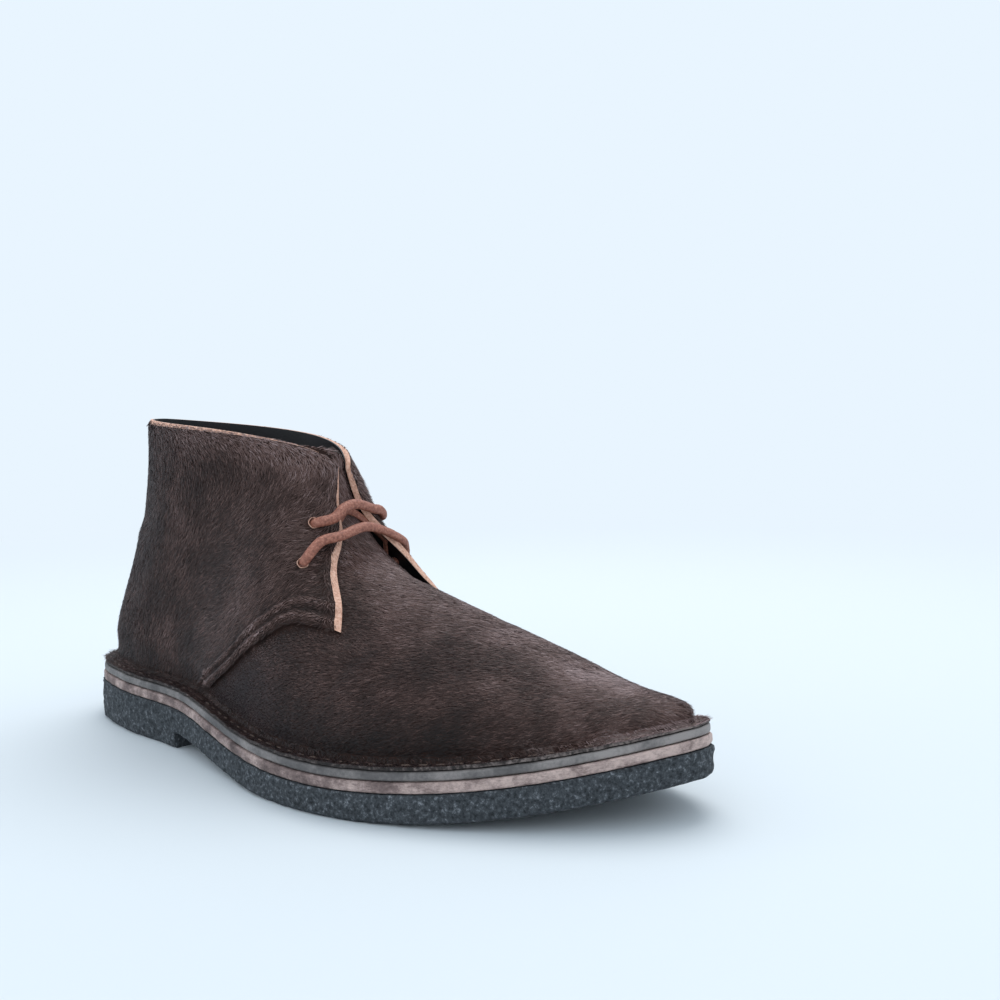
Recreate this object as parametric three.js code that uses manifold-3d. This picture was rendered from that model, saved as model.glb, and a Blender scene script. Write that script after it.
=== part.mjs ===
// A chukka boot for the right foot. The hair-on hide upper is turned out over a runner and a leather
// midsole and stitched down; under them are a crepe outsole and a separate heel lift.
// Millimetres: +X runs to the toe, +Y to the inner (medial) side, +Z up, and the boot stands on z = 0.

import * as THREE from "three";
import { mergeVertices } from "three/addons/utils/BufferGeometryUtils.js";
import Module from "manifold-3d";

const wasm = await Module();
wasm.setup();

// Driving sizes of the sole
const soleLength = 300;
const ballWidth = 107;
const heelWidth = 73;
const outsoleThickness = 9.3;
const heelRise = 7.2;
const toeSpring = 14.2;
const treadWear = 0.35;
const breastX = 90;
const heelBevelLength = 17;
const heelBevelHeight = 4.2;
const midsoleThickness = 3.7;
const runnerThickness = 3.1;
const insoleThickness = 2.4;
const jointGap = 0.3;
const flangeGap = 0.42;

// How far each layer's edge stands in from the outsole's edge
const midsoleInset = 0.4;
const runnerInset = 0.9;
const flangeInset = 1.4;
const flangeReach = 5.4;
const edgeRound = 0.9;

// Driving sizes of the upper
const wall = 2.4;
const quarterStep = 1.4;
const bandRidge = 0.7;
const bandWidth = 8.4;
const lapWidth = 10;
const lapDepth = 0.3;
const facingFlare = { "-1": 0.8, 1: 3.2 };
const instepHeight = 54.5;
const collarBackX = 26.5;
const collarLength = 121.5;
const collarHalf = { "-1": 29.5, 1: 25 };
const collarBackHeight = 131;
const collarFrontHeight = 113;
const backPinch = { "-1": 0.42, 1: 0.25 };
const frontPinch = { "-1": 0.05, 1: 0.4 };
const toplineBow = { "-1": 3, 1: 1.6 };
const counterHeight = 58;
const counterStep = 1.6;
const tongueThickness = 2;
const tongueGap = 1.35;
const tongueRise = 4;
const throatBlend = 0.05;
const throatCut = 0.0017;

// Driving sizes of the lacing
const eyeletHole = 4;
const eyeletSetback = 15;
const laceThickness = 3.8;
const laceGap = 0.75;
const laceArch = 2;

const clamp01 = (v) => Math.min(1, Math.max(0, v));
const mix = (a, b, k) => a + (b - a) * k;
const ease = (a, b, v) => {
  const k = clamp01((v - a) / (b - a));
  return k * k * (3 - 2 * k);
};

// Reads one column of a table at a value of another column, with a smooth curve through the rows
function read(rows, by, column, value) {
  const end = rows.length - 1;
  const v = Math.min(rows[end][by], Math.max(rows[0][by], value));
  let i = rows.findIndex((row) => row[by] >= v) - 1;
  i = Math.min(end - 1, Math.max(0, i));
  const slope = (n) => {
    const a = rows[Math.max(0, n - 1)];
    const b = rows[Math.min(end, n + 1)];
    return (b[column] - a[column]) / (b[by] - a[by]);
  };
  const span = rows[i + 1][by] - rows[i][by];
  const k = (v - rows[i][by]) / span;
  const k2 = k * k;
  const k3 = k2 * k;
  return rows[i][column] * (2 * k3 - 3 * k2 + 1) + slope(i) * span * (k3 - 2 * k2 + k)
    + rows[i + 1][column] * (3 * k2 - 2 * k3) + slope(i + 1) * span * (k3 - k2);
}

// Outline of the sole seen from above: along is a share of the length, and across a share of the
// width there, which grows from the heel's to the ball's. Lateral side first, then back on the medial.
const outlineRows = [
  { along: 0, across: 0 },
  { along: 0.04, across: -0.356 },
  { along: 0.15, across: -0.514 },
  { along: 0.3, across: -0.524 },
  { along: 0.433, across: -0.531 },
  { along: 0.567, across: -0.546 },
  { along: 0.683, across: -0.523 },
  { along: 0.8, across: -0.393 },
  { along: 0.907, across: -0.187 },
  { along: 0.973, across: 0.019 },
  { along: 1, across: 0.196 },
  { along: 0.973, across: 0.313 },
  { along: 0.883, across: 0.407 },
  { along: 0.767, across: 0.449 },
  { along: 0.65, across: 0.397 },
  { along: 0.517, across: 0.305 },
  { along: 0.383, across: 0.319 },
  { along: 0.26, across: 0.446 },
  { along: 0.15, across: 0.479 },
  { along: 0.04, across: 0.342 },
];
const widthAt = (along) => mix(heelWidth, ballWidth, ease(0.2, 0.6, along));
const outlineCurve = new THREE.CatmullRomCurve3(
  outlineRows.map((row) => new THREE.Vector3(row.along * soleLength, row.across * widthAt(row.along), 0)),
  true,
  "centripetal",
);

// Height of the outsole's top: heel is the share of the heel's rise, toe the share of the toe spring
const profileRows = [
  { along: 0, heel: 1, toe: 0 },
  { along: 0.27, heel: 0.92, toe: 0 },
  { along: 0.36, heel: 0.76, toe: 0 },
  { along: 0.47, heel: 0.27, toe: 0 },
  { along: 0.58, heel: 0.04, toe: 0 },
  { along: 0.67, heel: 0, toe: 0.005 },
  { along: 0.78, heel: 0, toe: 0.12 },
  { along: 0.88, heel: 0, toe: 0.42 },
  { along: 1, heel: 0, toe: 1 },
];
const outsoleTop = (x) => outsoleThickness
  + heelRise * read(profileRows, "along", "heel", x / soleLength)
  + toeSpring * read(profileRows, "along", "toe", x / soleLength);
const outsoleBottom = (x) => Math.max(0, outsoleTop(x) - outsoleThickness - treadWear);
const midsoleBottom = (x) => outsoleTop(x) + jointGap;
const midsoleTop = (x) => midsoleBottom(x) + midsoleThickness;
const runnerBottom = (x) => midsoleTop(x) + jointGap;
const runnerTop = (x) => runnerBottom(x) + runnerThickness;
const flangeTop = (x) => runnerTop(x) + flangeGap + wall;

// The outline moved inwards, as two rails from the heel's middle to the toe's tip
const outlineSteps = 600;
const railStore = new Map();
function rails(inset) {
  if (railStore.has(inset)) return railStore.get(inset);
  const loop = [];
  for (let i = 0; i < outlineSteps; i += 1) {
    const point = outlineCurve.getPoint(i / outlineSteps);
    const tangent = outlineCurve.getTangent(i / outlineSteps);
    loop.push({ x: point.x - tangent.y * inset, y: point.y + tangent.x * inset });
  }
  const heel = loop.reduce((best, p, i) => (p.x < loop[best].x ? i : best), 0);
  const toe = loop.reduce((best, p, i) => (p.x > loop[best].x ? i : best), 0);
  const walk = (step) => {
    const rail = [];
    let length = 0;
    for (let i = heel; ; i = (i + step + outlineSteps) % outlineSteps) {
      const before = rail[rail.length - 1];
      if (before) length += Math.hypot(loop[i].x - before.x, loop[i].y - before.y);
      rail.push({ x: loop[i].x, y: loop[i].y, length });
      if (i === toe) return rail;
    }
  };
  const pair = { lateral: walk(1), medial: walk(-1), start: loop[heel].x, end: loop[toe].x };
  railStore.set(inset, pair);
  return pair;
}

// A point of a rail, found by the value of one of its columns
function onRail(rail, by, value) {
  const i = Math.min(rail.length - 1, Math.max(1, rail.findIndex((p) => p[by] >= value)));
  const k = clamp01((value - rail[i - 1][by]) / (rail[i][by] - rail[i - 1][by] || 1));
  return { x: mix(rail[i - 1].x, rail[i].x, k), y: mix(rail[i - 1].y, rail[i].y, k) };
}

// Triangles of points as numbered points and faces, with what has no area left out
function indexed(triangles) {
  const numbers = new Map();
  const points = [];
  const faces = [];
  const numberOf = (p) => {
    const key = `${p.x.toFixed(3)} ${p.y.toFixed(3)} ${p.z.toFixed(3)}`;
    if (!numbers.has(key)) {
      numbers.set(key, points.length);
      points.push(p);
    }
    return numbers.get(key);
  };
  for (const triangle of triangles) {
    const face = triangle.map(numberOf);
    if (new Set(face).size === 3) faces.push(...face);
  }
  return { points, faces };
}
function meshOf(triangles) {
  const { points, faces } = indexed(triangles);
  const geometry = new THREE.BufferGeometry().setFromPoints(points);
  geometry.setIndex(faces);
  return geometry;
}

function addQuad(triangles, a, b, c, d) {
  triangles.push([a, b, c], [a, c, d]);
}

// A layer of the sole: rings of the outline from bottom to top, each with its inset and its height
const layerSteps = 34;
function layer(rings, stopX = Infinity) {
  const sections = rings.map(({ inset, height }) => {
    const pair = rails(inset);
    const end = Math.min(pair.end, stopX);
    const rows = [];
    for (let i = 0; i <= layerSteps; i += 1) {
      const share = stopX < Infinity ? 1 - Math.cos((Math.PI * i) / layerSteps / 2)
        : (1 - Math.cos((Math.PI * i) / layerSteps)) / 2;
      const x = mix(pair.start, end, share);
      const z = height(x);
      rows.push({
        lateral: new THREE.Vector3(x, onRail(pair.lateral, "x", x).y, z),
        medial: new THREE.Vector3(x, onRail(pair.medial, "x", x).y, z),
      });
    }
    rows[0].medial = rows[0].lateral;
    if (stopX === Infinity) rows[layerSteps].medial = rows[layerSteps].lateral;
    return rows;
  });
  const triangles = [];
  const bottom = sections[0];
  const top = sections[sections.length - 1];
  for (let i = 0; i < layerSteps; i += 1) {
    addQuad(triangles, bottom[i].lateral, bottom[i].medial, bottom[i + 1].medial, bottom[i + 1].lateral);
    addQuad(triangles, top[i].lateral, top[i + 1].lateral, top[i + 1].medial, top[i].medial);
    for (let r = 0; r + 1 < sections.length; r += 1) {
      const [low, high] = [sections[r], sections[r + 1]];
      addQuad(triangles, low[i].lateral, low[i + 1].lateral, high[i + 1].lateral, high[i].lateral);
      addQuad(triangles, low[i + 1].medial, low[i].medial, high[i].medial, high[i + 1].medial);
    }
  }
  for (let r = 0; r + 1 < sections.length; r += 1) {
    const low = sections[r][layerSteps];
    const high = sections[r + 1][layerSteps];
    addQuad(triangles, low.lateral, low.medial, high.medial, high.lateral);
  }
  return meshOf(triangles);
}

// A layer of even thickness with its edges rounded off
function slab(inset, bottom, top) {
  return layer([
    { inset: inset + edgeRound, height: bottom },
    { inset, height: (x) => bottom(x) + edgeRound },
    { inset, height: (x) => top(x) - edgeRound },
    { inset: inset + edgeRound, height: top },
  ]);
}

// The last, over which the upper is drawn. A station is named by at, its share of the way round the
// feather line from the heel (0) to the toe (1), and a point on it by rise, from the feather (0) up
// to the crest (1). The crest is the topline as far as the collar's front, and then the ridge.
const frontAt = 0.45;
const ridgeEndAt = 0.9;

// The ridge: x and y as shares of the sole's length and the ball's width. Below the instep its
// height is a share of the instep's, and above it shaft goes from the instep to the collar's front.
const ridgeRows = [
  { at: 0.45, x: 0.4933, y: 0, rise: 1, shaft: 1 },
  { at: 0.5, x: 0.502, y: 0.005, rise: 1, shaft: 0.59 },
  { at: 0.55, x: 0.528, y: 0.022, rise: 0.985, shaft: 0.27 },
  { at: 0.6, x: 0.585, y: 0.052, rise: 0.95, shaft: 0 },
  { at: 0.65, x: 0.653, y: 0.084, rise: 0.805, shaft: 0 },
  { at: 0.7, x: 0.713, y: 0.107, rise: 0.692, shaft: 0 },
  { at: 0.75, x: 0.77, y: 0.126, rise: 0.575, shaft: 0 },
  { at: 0.8, x: 0.823, y: 0.145, rise: 0.448, shaft: 0 },
  { at: 0.85, x: 0.867, y: 0.159, rise: 0.325, shaft: 0 },
  { at: 0.9, x: 0.9, y: 0.168, rise: 0.24, shaft: 0 },
];
const ridgeX = (at) => {
  const x = read(ridgeRows, "at", "x", at) * soleLength;
  const collarShift = collarBackX + collarLength - ridgeRows[0].x * soleLength;
  return x + collarShift * read(ridgeRows, "at", "shaft", at);
};
function ridgePoint(at) {
  const stop = Math.min(at, ridgeEndAt);
  const x = ridgeX(stop);
  const low = flangeTop(x) + instepHeight * read(ridgeRows, "at", "rise", stop);
  const z = mix(low, collarFrontHeight, read(ridgeRows, "at", "shaft", stop));
  return new THREE.Vector3(x, read(ridgeRows, "at", "y", stop) * ballWidth, z);
}
function crestPoint(side, at) {
  if (at >= frontAt) return ridgePoint(at);
  const turn = Math.PI * (at / frontAt);
  const x = collarBackX + (collarLength * (1 - Math.cos(turn))) / 2;
  const pinch = (turn < Math.PI / 2 ? backPinch : frontPinch)[side] * Math.cos(turn) ** 2;
  const half = collarHalf[side] * Math.sin(turn) * (1 - pinch);
  const z = mix(collarBackHeight, collarFrontHeight, (at / frontAt) ** toplineBow[side]);
  return new THREE.Vector3(x, side * half, z);
}
function featherPoint(side, at) {
  const pair = rails(flangeInset + flangeReach);
  const rail = side < 0 ? pair.lateral : pair.medial;
  const { x, y } = onRail(rail, "length", at * rail[rail.length - 1].length);
  return new THREE.Vector3(x, y, flangeTop(x) + edgeRound);
}

// How the wall leaves the feather and reaches the crest, as shares of the straight line between them
const wallRows = [
  { at: 0, lateralLean: -0.02, medialLean: -0.02, lift: 0.33, reach: 0.45 },
  { at: 0.1, lateralLean: -0.1, medialLean: -0.03, lift: 0.33, reach: 0.5 },
  { at: 0.25, lateralLean: -0.03, medialLean: 0.01, lift: 0.32, reach: 0.36 },
  { at: 0.45, lateralLean: 0.0, medialLean: 0.04, lift: 0.3, reach: 0.3 },
  { at: 0.6, lateralLean: 0.0, medialLean: 0.12, lift: 0.25, reach: 0.32 },
  { at: 0.75, lateralLean: 0.02, medialLean: 0.08, lift: 0.26, reach: 0.36 },
  { at: 0.9, lateralLean: 0.02, medialLean: 0.04, lift: 0.26, reach: 0.42 },
  { at: 1, lateralLean: 0.0, medialLean: 0.0, lift: 0.22, reach: 0.45 },
];
const slopeStep = 0.01;
function crestTangent(side, at) {
  const foot = featherPoint(side, at);
  const crest = crestPoint(side, at);
  const up = new THREE.Vector3(0, 0, 1);
  if (at <= frontAt - 0.2) return up;
  const ahead = ridgePoint(Math.min(ridgeEndAt, Math.max(at, frontAt) + slopeStep));
  const behind = ridgePoint(Math.min(ridgeEndAt, Math.max(at, frontAt) + slopeStep) - slopeStep);
  const fall = ahead.sub(behind).normalize();
  const toeward = ease(0.78, 0.96, at);
  const across = new THREE.Vector3(toeward * (crest.x - foot.x), crest.y - foot.y, 0);
  across.z = (fall.z / fall.x) * across.x;
  across.normalize();
  const climb = up.lerp(fall.negate(), ease(frontAt - 0.02, frontAt + 0.1, at)).normalize();
  return climb.lerp(across, ease(frontAt - 0.2, frontAt + 0.12, at)).normalize();
}
const stationStore = new Map();
function station(side, at) {
  const key = `${side} ${at.toFixed(6)}`;
  if (stationStore.has(key)) return stationStore.get(key);
  const foot = featherPoint(side, at);
  const crest = crestPoint(side, at);
  const chord = foot.distanceTo(crest);
  const outer = rails(flangeInset);
  const rail = side < 0 ? outer.lateral : outer.medial;
  const edge = onRail(rail, "length", at * rail[rail.length - 1].length);
  const out = new THREE.Vector3(edge.x - foot.x, edge.y - foot.y, 0).normalize();
  const lean = read(wallRows, "at", side < 0 ? "lateralLean" : "medialLean", at) * chord;
  const lift = read(wallRows, "at", "lift", at) * chord;
  const low = foot.clone().addScaledVector(out, lean).add(new THREE.Vector3(0, 0, lift));
  const reach = read(wallRows, "at", "reach", at) * chord;
  const high = crest.clone().addScaledVector(crestTangent(side, at), -reach);
  const found = { curve: new THREE.CubicBezierCurve3(foot, low, high, crest), out, edge, chord };
  stationStore.set(key, found);
  return found;
}

// A point of the last. Under the feather, rise -1 is the flange's inner line and -2 its edge.
function lastPoint(side, at, rise) {
  const { curve, out, edge } = station(side, at);
  if (rise <= -2) return new THREE.Vector3(edge.x, edge.y, flangeTop(edge.x));
  const point = curve.getPoint(clamp01(rise));
  if (rise < 0) {
    point.addScaledVector(out, edgeRound);
    point.z = flangeTop(point.x);
    return point;
  }
  const counter = counterStep * ease(0.24, 0.12, at)
    * ease(counterHeight + 5, counterHeight - 5, point.z - flangeTop(point.x)) * ease(0, 0.2, rise);
  return point.addScaledVector(out, counter);
}

// A grid of points as triangles: rows run up the wall and columns round the boot
function gridTriangles(columns) {
  const triangles = [];
  for (let i = 0; i + 1 < columns.length; i += 1) {
    const [a, b] = [columns[i], columns[i + 1]];
    for (let j = 0; j + 1 < a.length; j += 1) addQuad(triangles, a[j], b[j], b[j + 1], a[j + 1]);
  }
  return triangles;
}

// Gives a skin its wall. Each point's outer and inner are distances along the skin's normal there.
function shell(skins) {
  const { points, faces } = indexed(skins.flatMap(gridTriangles));
  const skin = new THREE.BufferGeometry().setFromPoints(points);
  skin.setIndex(faces);
  skin.computeVertexNormals();
  const normals = points.map((p, i) => new THREE.Vector3().fromBufferAttribute(skin.getAttribute("normal"), i));
  const outside = points.map((p, i) => p.clone().addScaledVector(normals[i], p.outer));
  const inside = points.map((p, i) => p.clone().addScaledVector(normals[i], p.inner));
  const count = points.length;
  const indices = [...faces];
  const edges = new Set();
  for (let f = 0; f < faces.length; f += 3) {
    indices.push(faces[f] + count, faces[f + 2] + count, faces[f + 1] + count);
    for (let e = 0; e < 3; e += 1) edges.add(`${faces[f + e]} ${faces[f + ((e + 1) % 3)]}`);
  }
  for (const edge of edges) {
    const [a, b] = edge.split(" ").map(Number);
    if (edges.has(`${b} ${a}`)) continue;
    indices.push(b, a, a + count, b, a + count, b + count);
  }
  const geometry = new THREE.BufferGeometry().setFromPoints([...outside, ...inside]);
  geometry.setIndex(indices);
  return geometry;
}

// Manifold solids from a closed mesh, and back
function solidOf(geometry) {
  const bare = geometry.clone();
  bare.deleteAttribute("normal");
  bare.deleteAttribute("uv");
  const merged = mergeVertices(bare, 0.0005);
  return new wasm.Manifold(new wasm.Mesh({
    numProp: 3,
    vertProperties: Float32Array.from(merged.getAttribute("position").array),
    triVerts: Uint32Array.from(merged.index.array),
  }));
}
function geometryOf(solid) {
  const { vertProperties, triVerts } = solid.getMesh();
  const geometry = new THREE.BufferGeometry();
  geometry.setAttribute("position", new THREE.BufferAttribute(Float32Array.from(vertProperties), 3));
  geometry.setIndex(new THREE.BufferAttribute(Uint32Array.from(triVerts), 1));
  return geometry;
}

// The seam between vamp and quarter, from the sole (rise 0) up to the facing's lower corner
const seamRows = {
  "-1": [
    { at: 0.36, rise: 0.0 },
    { at: 0.42, rise: 0.14 },
    { at: 0.48, rise: 0.29 },
    { at: 0.54, rise: 0.44 },
    { at: 0.6, rise: 0.53 },
  ],
  1: [
    { at: 0.42, rise: 0.0 },
    { at: 0.47, rise: 0.14 },
    { at: 0.52, rise: 0.27 },
    { at: 0.57, rise: 0.38 },
    { at: 0.62, rise: 0.46 },
  ],
};
const cornerAt = (side) => seamRows[side][4].at;
const cornerRise = (side) => seamRows[side][4].rise;
const seamRise = (side, at) => (at <= seamRows[side][0].at ? 0 : read(seamRows[side], "at", "rise", at));

// The facings, from the lower corner (climb 0) to the topline (climb 1), each with its round corner
const facingRows = [
  { climb: 0, lateral: 0.6, medial: 0.6 },
  { climb: 0.2, lateral: 0.588, medial: 0.578 },
  { climb: 0.45, lateral: 0.562, medial: 0.543 },
  { climb: 0.7, lateral: 0.545, medial: 0.5 },
  { climb: 0.84, lateral: 0.525, medial: 0.462 },
  { climb: 0.94, lateral: 0.474, medial: 0.42 },
  { climb: 0.985, lateral: 0.428, medial: 0.38 },
  { climb: 1, lateral: 0.39, medial: 0.345 },
];
const facingAt = (side, climb) => read(facingRows, "climb", side < 0 ? "lateral" : "medial", climb)
  - facingRows[0].lateral + cornerAt(side);

// A point of a quarter's outside: around goes from the heel (0) to the facing (1), climb from the
// quarter's lower edge, which is the feather and then the seam, to the topline
function quarterPoint(side, around, climb) {
  const lowAt = around * cornerAt(side);
  const low = Math.max(0.02, seamRise(side, lowAt));
  const at = around * facingAt(side, climb);
  const rise = mix(low, 1, climb);
  const point = lastPoint(side, at, rise);
  const flare = facingFlare[side] * ease(0.78, 1, around) * ease(0, 0.3, climb) * ease(0.85, 0.45, climb);
  const above = (rise - low) * station(side, at).chord;
  const onSeam = ease(seamRows[side][0].at - 0.03, seamRows[side][0].at + 0.03, lowAt);
  const wave = above < bandWidth ? (1 - Math.cos((4 * Math.PI * above) / bandWidth)) / 2 : 0;
  const lifted = mix(ease(0.02, 0.12, rise), 1, onSeam);
  point.outer = quarterStep * lifted + bandRidge * wave * onSeam + flare;
  const lap = onSeam * ease(lapWidth + 3, lapWidth - 3, above);
  point.inner = mix(mix(-wall, quarterStep - wall, lifted), lapDepth - wall, lap) + flare;
  return point;
}
const quarterColumns = 17;
const bandRows = [0, 0.25, 0.5, 0.75, 1].map((share) => share * bandWidth);
function quarterSkin(side) {
  const columns = [];
  for (let i = 0; i <= quarterColumns; i += 1) {
    const around = i / quarterColumns;
    const lowAt = around * cornerAt(side);
    const height = station(side, lowAt).chord * (1 - Math.max(0.02, seamRise(side, lowAt)));
    const climbs = bandRows.map((above) => above / height);
    const from = climbs[climbs.length - 1];
    for (const share of [0.16, 0.34, 0.52, 0.68, 0.82, 0.9, 0.96, 1]) climbs.push(mix(from, 1, share));
    columns.push(climbs.map((climb) => quarterPoint(side, around, climb)));
  }
  return ordered(side, columns);
}

// The vamp's rear edge lies under the quarter, behind the seam, and then crosses over the throat
const vampOverlap = 0.045;
const throatAt = (side) => cornerAt(side) - vampOverlap;
function vampRear(side, rise) {
  const rows = seamRows[side];
  if (rise <= 0) return rows[0].at - vampOverlap;
  if (rise >= cornerRise(side)) return throatAt(side);
  return read(rows, "rise", "at", rise) - vampOverlap;
}
const flangeRises = [-2, -1];
const stripRises = [0, 0.06, 0.13];
const vampRises = [...flangeRises, ...stripRises, 0.21, 0.29, 0.37, 0.44, 0.53, 0.62, 0.71, 0.8, 0.9, 1];
const vampShares = [0, 0.06, 0.12, 0.19, 0.26, 0.33, 0.4, 0.47, 0.54, 0.61, 0.67, 0.73, 0.78, 0.83, 0.88, 0.92, 0.96, 1];
const heelShares = [0, 0.1, 0.2, 0.32, 0.46, 0.64, 0.82, 1];
function baseWall(side, at, rise) {
  const point = lastPoint(side, at, rise);
  const behind = ease(throatAt(side) + throatBlend, throatAt(side), at) * ease(0.62, 0.85, rise);
  point.outer = (quarterStep - wall - tongueGap) * behind;
  point.inner = point.outer - wall;
  return point;
}
const ordered = (side, columns) => (side < 0 ? columns : columns.reverse());
const vampSkin = (side) => ordered(side, vampShares.map((share) => vampRises
  .map((rise) => baseWall(side, mix(vampRear(side, rise), 1, share), rise))));
const stripSkin = (side) => ordered(side, heelShares.map((share) => [...flangeRises, ...stripRises]
  .map((rise) => baseWall(side, share * vampRear(side, rise), rise))));

// The tongue goes on from the vamp's throat, under the facings, to a little above the topline
const tongueShares = [0, 0.12, 0.24, 0.36, 0.48, 0.6, 0.72, 0.86, 1];
const tongueStart = 0.34;
const tongueEnd = Math.min(throatAt(-1), throatAt(1)) - throatCut;
const tongueCrown = (at) => (at > frontAt ? 0 : tongueRise * ease(tongueStart, frontAt, at));
function tongueSkin(side) {
  const outer = quarterStep - wall - tongueGap;
  const front = tongueShares.findIndex((share) => mix(tongueStart, tongueEnd, share) > frontAt) - 1;
  const columns = tongueShares.map((share, i) => {
    const at = i === front ? frontAt : mix(tongueStart, tongueEnd, share);
    const low = mix(0.95, 0.62, ease(tongueStart, 0.52, at));
    const points = [0, 0.2, 0.4, 0.6, 0.8, 1].map((rise) => lastPoint(side, at, mix(low, 1, rise)));
    const crown = points[points.length - 1].clone();
    crown.z += tongueCrown(at);
    points.push(crown);
    points.forEach((point) => Object.assign(point, { outer, inner: outer - tongueThickness }));
    return points;
  });
  return ordered(side, columns);
}

// Where an eyelet lies on the quarter, with the way out of the wall there
const laceRows = {
  lower: { "-1": { eyelet: 0.35, edge: 0.7 }, 1: { eyelet: 0.37, edge: 0.57 } },
  upper: { "-1": { eyelet: 0.61, edge: 0.88 }, 1: { eyelet: 0.58, edge: 0.77 } },
};
function eyelet(side, climb) {
  const edge = quarterPoint(side, 1, climb);
  const back = quarterPoint(side, 0.9, climb);
  const around = 1 - (0.1 * eyeletSetback) / edge.distanceTo(back);
  const at = quarterPoint(side, around, climb);
  const forward = quarterPoint(side, around + 0.01, climb).sub(at);
  const up = quarterPoint(side, around, climb + 0.01).sub(at);
  const out = forward.cross(up).multiplyScalar(-side).normalize();
  return { at, out, around };
}

const sides = [-1, 1];
function upperSolid() {
  const base = solidOf(shell([...sides.map(vampSkin), ...sides.map(stripSkin)]));
  const quarters = solidOf(shell(sides.map(quarterSkin)));
  let upper = base.add(quarters);
  for (const side of sides) {
    for (const row of Object.values(laceRows)) {
      const { at, out } = eyelet(side, row[side].eyelet);
      const drill = new THREE.CylinderGeometry(eyeletHole / 2, eyeletHole / 2, 3 * (wall + quarterStep), 12);
      drill.applyQuaternion(new THREE.Quaternion().setFromUnitVectors(new THREE.Vector3(0, 1, 0), out));
      drill.translate(at.x, at.y, at.z);
      upper = upper.subtract(solidOf(drill));
    }
  }
  return geometryOf(upper);
}

// A bar of the lace, from one eyelet over both facings to the other, clear of what is under it
const laceSteps = 24;
function laceBar(row) {
  const over = laceThickness / 2 + laceGap;
  const half = (side) => {
    const { eyelet: low, edge: high } = row[side];
    const { at, out, around } = eyelet(side, low);
    const raise = (p, more) => p.clone().addScaledVector(out, p.outer + over + more);
    const middle = quarterPoint(side, (1 + around) / 2, (low + high) / 2);
    return [raise(at, 0), raise(middle, laceArch / 2), raise(quarterPoint(side, 1, high), laceArch)];
  };
  const lateral = half(-1);
  const medial = half(1);
  const ridgeAt = (facingAt(-1, row[-1].edge) + facingAt(1, row[1].edge)) / 2;
  const way = ridgePoint(ridgeAt + slopeStep).sub(ridgePoint(ridgeAt - slopeStep)).normalize();
  const ridgeOut = new THREE.Vector3(-way.z, 0, way.x);
  const top = ridgePoint(ridgeAt).addScaledVector(ridgeOut, over + laceArch);
  const path = new THREE.CatmullRomCurve3([...lateral, top, ...medial.reverse()], false, "centripetal");
  const section = new THREE.Shape();
  section.absarc(0, 0, laceThickness / 2, 0, 2 * Math.PI);
  return new THREE.ExtrudeGeometry(section, { steps: laceSteps, curveSegments: 8, extrudePath: path });
}

const root = new THREE.Group();
function addNode(name, geometry, color, roughness) {
  const material = new THREE.MeshStandardMaterial({ color, roughness, metalness: 0 });
  const mesh = new THREE.Mesh(geometry, material);
  mesh.name = name;
  root.add(mesh);
  return mesh;
}

addNode("outsole", layer([
  { inset: 1.2, height: outsoleBottom },
  { inset: 0, height: (x) => outsoleBottom(x) + 1.2 },
  { inset: 0, height: (x) => outsoleTop(x) - 0.5 },
  { inset: 0.5, height: outsoleTop },
]), 0x2f3238, 0.95);
const liftTop = (x) => outsoleBottom(x) - jointGap;
const liftBottom = (x) => heelBevelHeight * Math.max(0, 1 - x / heelBevelLength);
addNode("heel_lift", layer([
  { inset: 1, height: liftBottom },
  { inset: 0.2, height: (x) => mix(liftBottom(x), liftTop(x), 0.3) },
  { inset: 0.2, height: liftTop },
], breastX), 0x2f3238, 0.95);
addNode("midsole", slab(midsoleInset, midsoleBottom, midsoleTop), 0x8a6f68, 0.8);
addNode("runner", slab(runnerInset, runnerBottom, runnerTop), 0x5c5a58, 0.7);
const insoleInset = flangeInset + flangeReach + wall + jointGap;
const insoleBottom = (x) => runnerTop(x) + jointGap;
addNode("insole", slab(insoleInset, insoleBottom, (x) => insoleBottom(x) + insoleThickness), 0x8c6a4f, 0.8);
addNode("upper", upperSolid(), 0x38292a, 0.6);
addNode("tongue", geometryOf(solidOf(shell(sides.map(tongueSkin)))), 0x38292a, 0.6);
for (const [name, row] of Object.entries(laceRows)) {
  addNode(`lace_${name}`, geometryOf(solidOf(laceBar(row))), 0x6e4034, 0.6);
}

// The middle of the boot's box stands over the origin
const box = new THREE.Box3().setFromObject(root);
root.position.set(-(box.min.x + box.max.x) / 2, -(box.min.y + box.max.y) / 2, 0);

export default root;
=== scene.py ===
# A chukka boot for the right foot in dark brown hair-on hide, stitched down on a leather midsole and a
# crepe outsole. Sizes are millimetres in the maker's own frame: x from the heel, y to the inner side
# and z from the floor. Every mesh is brought to the shared frame, in metres, as it is made.
import math

import bpy
import numpy as np
from mathutils import Matrix, Vector, noise


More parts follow.
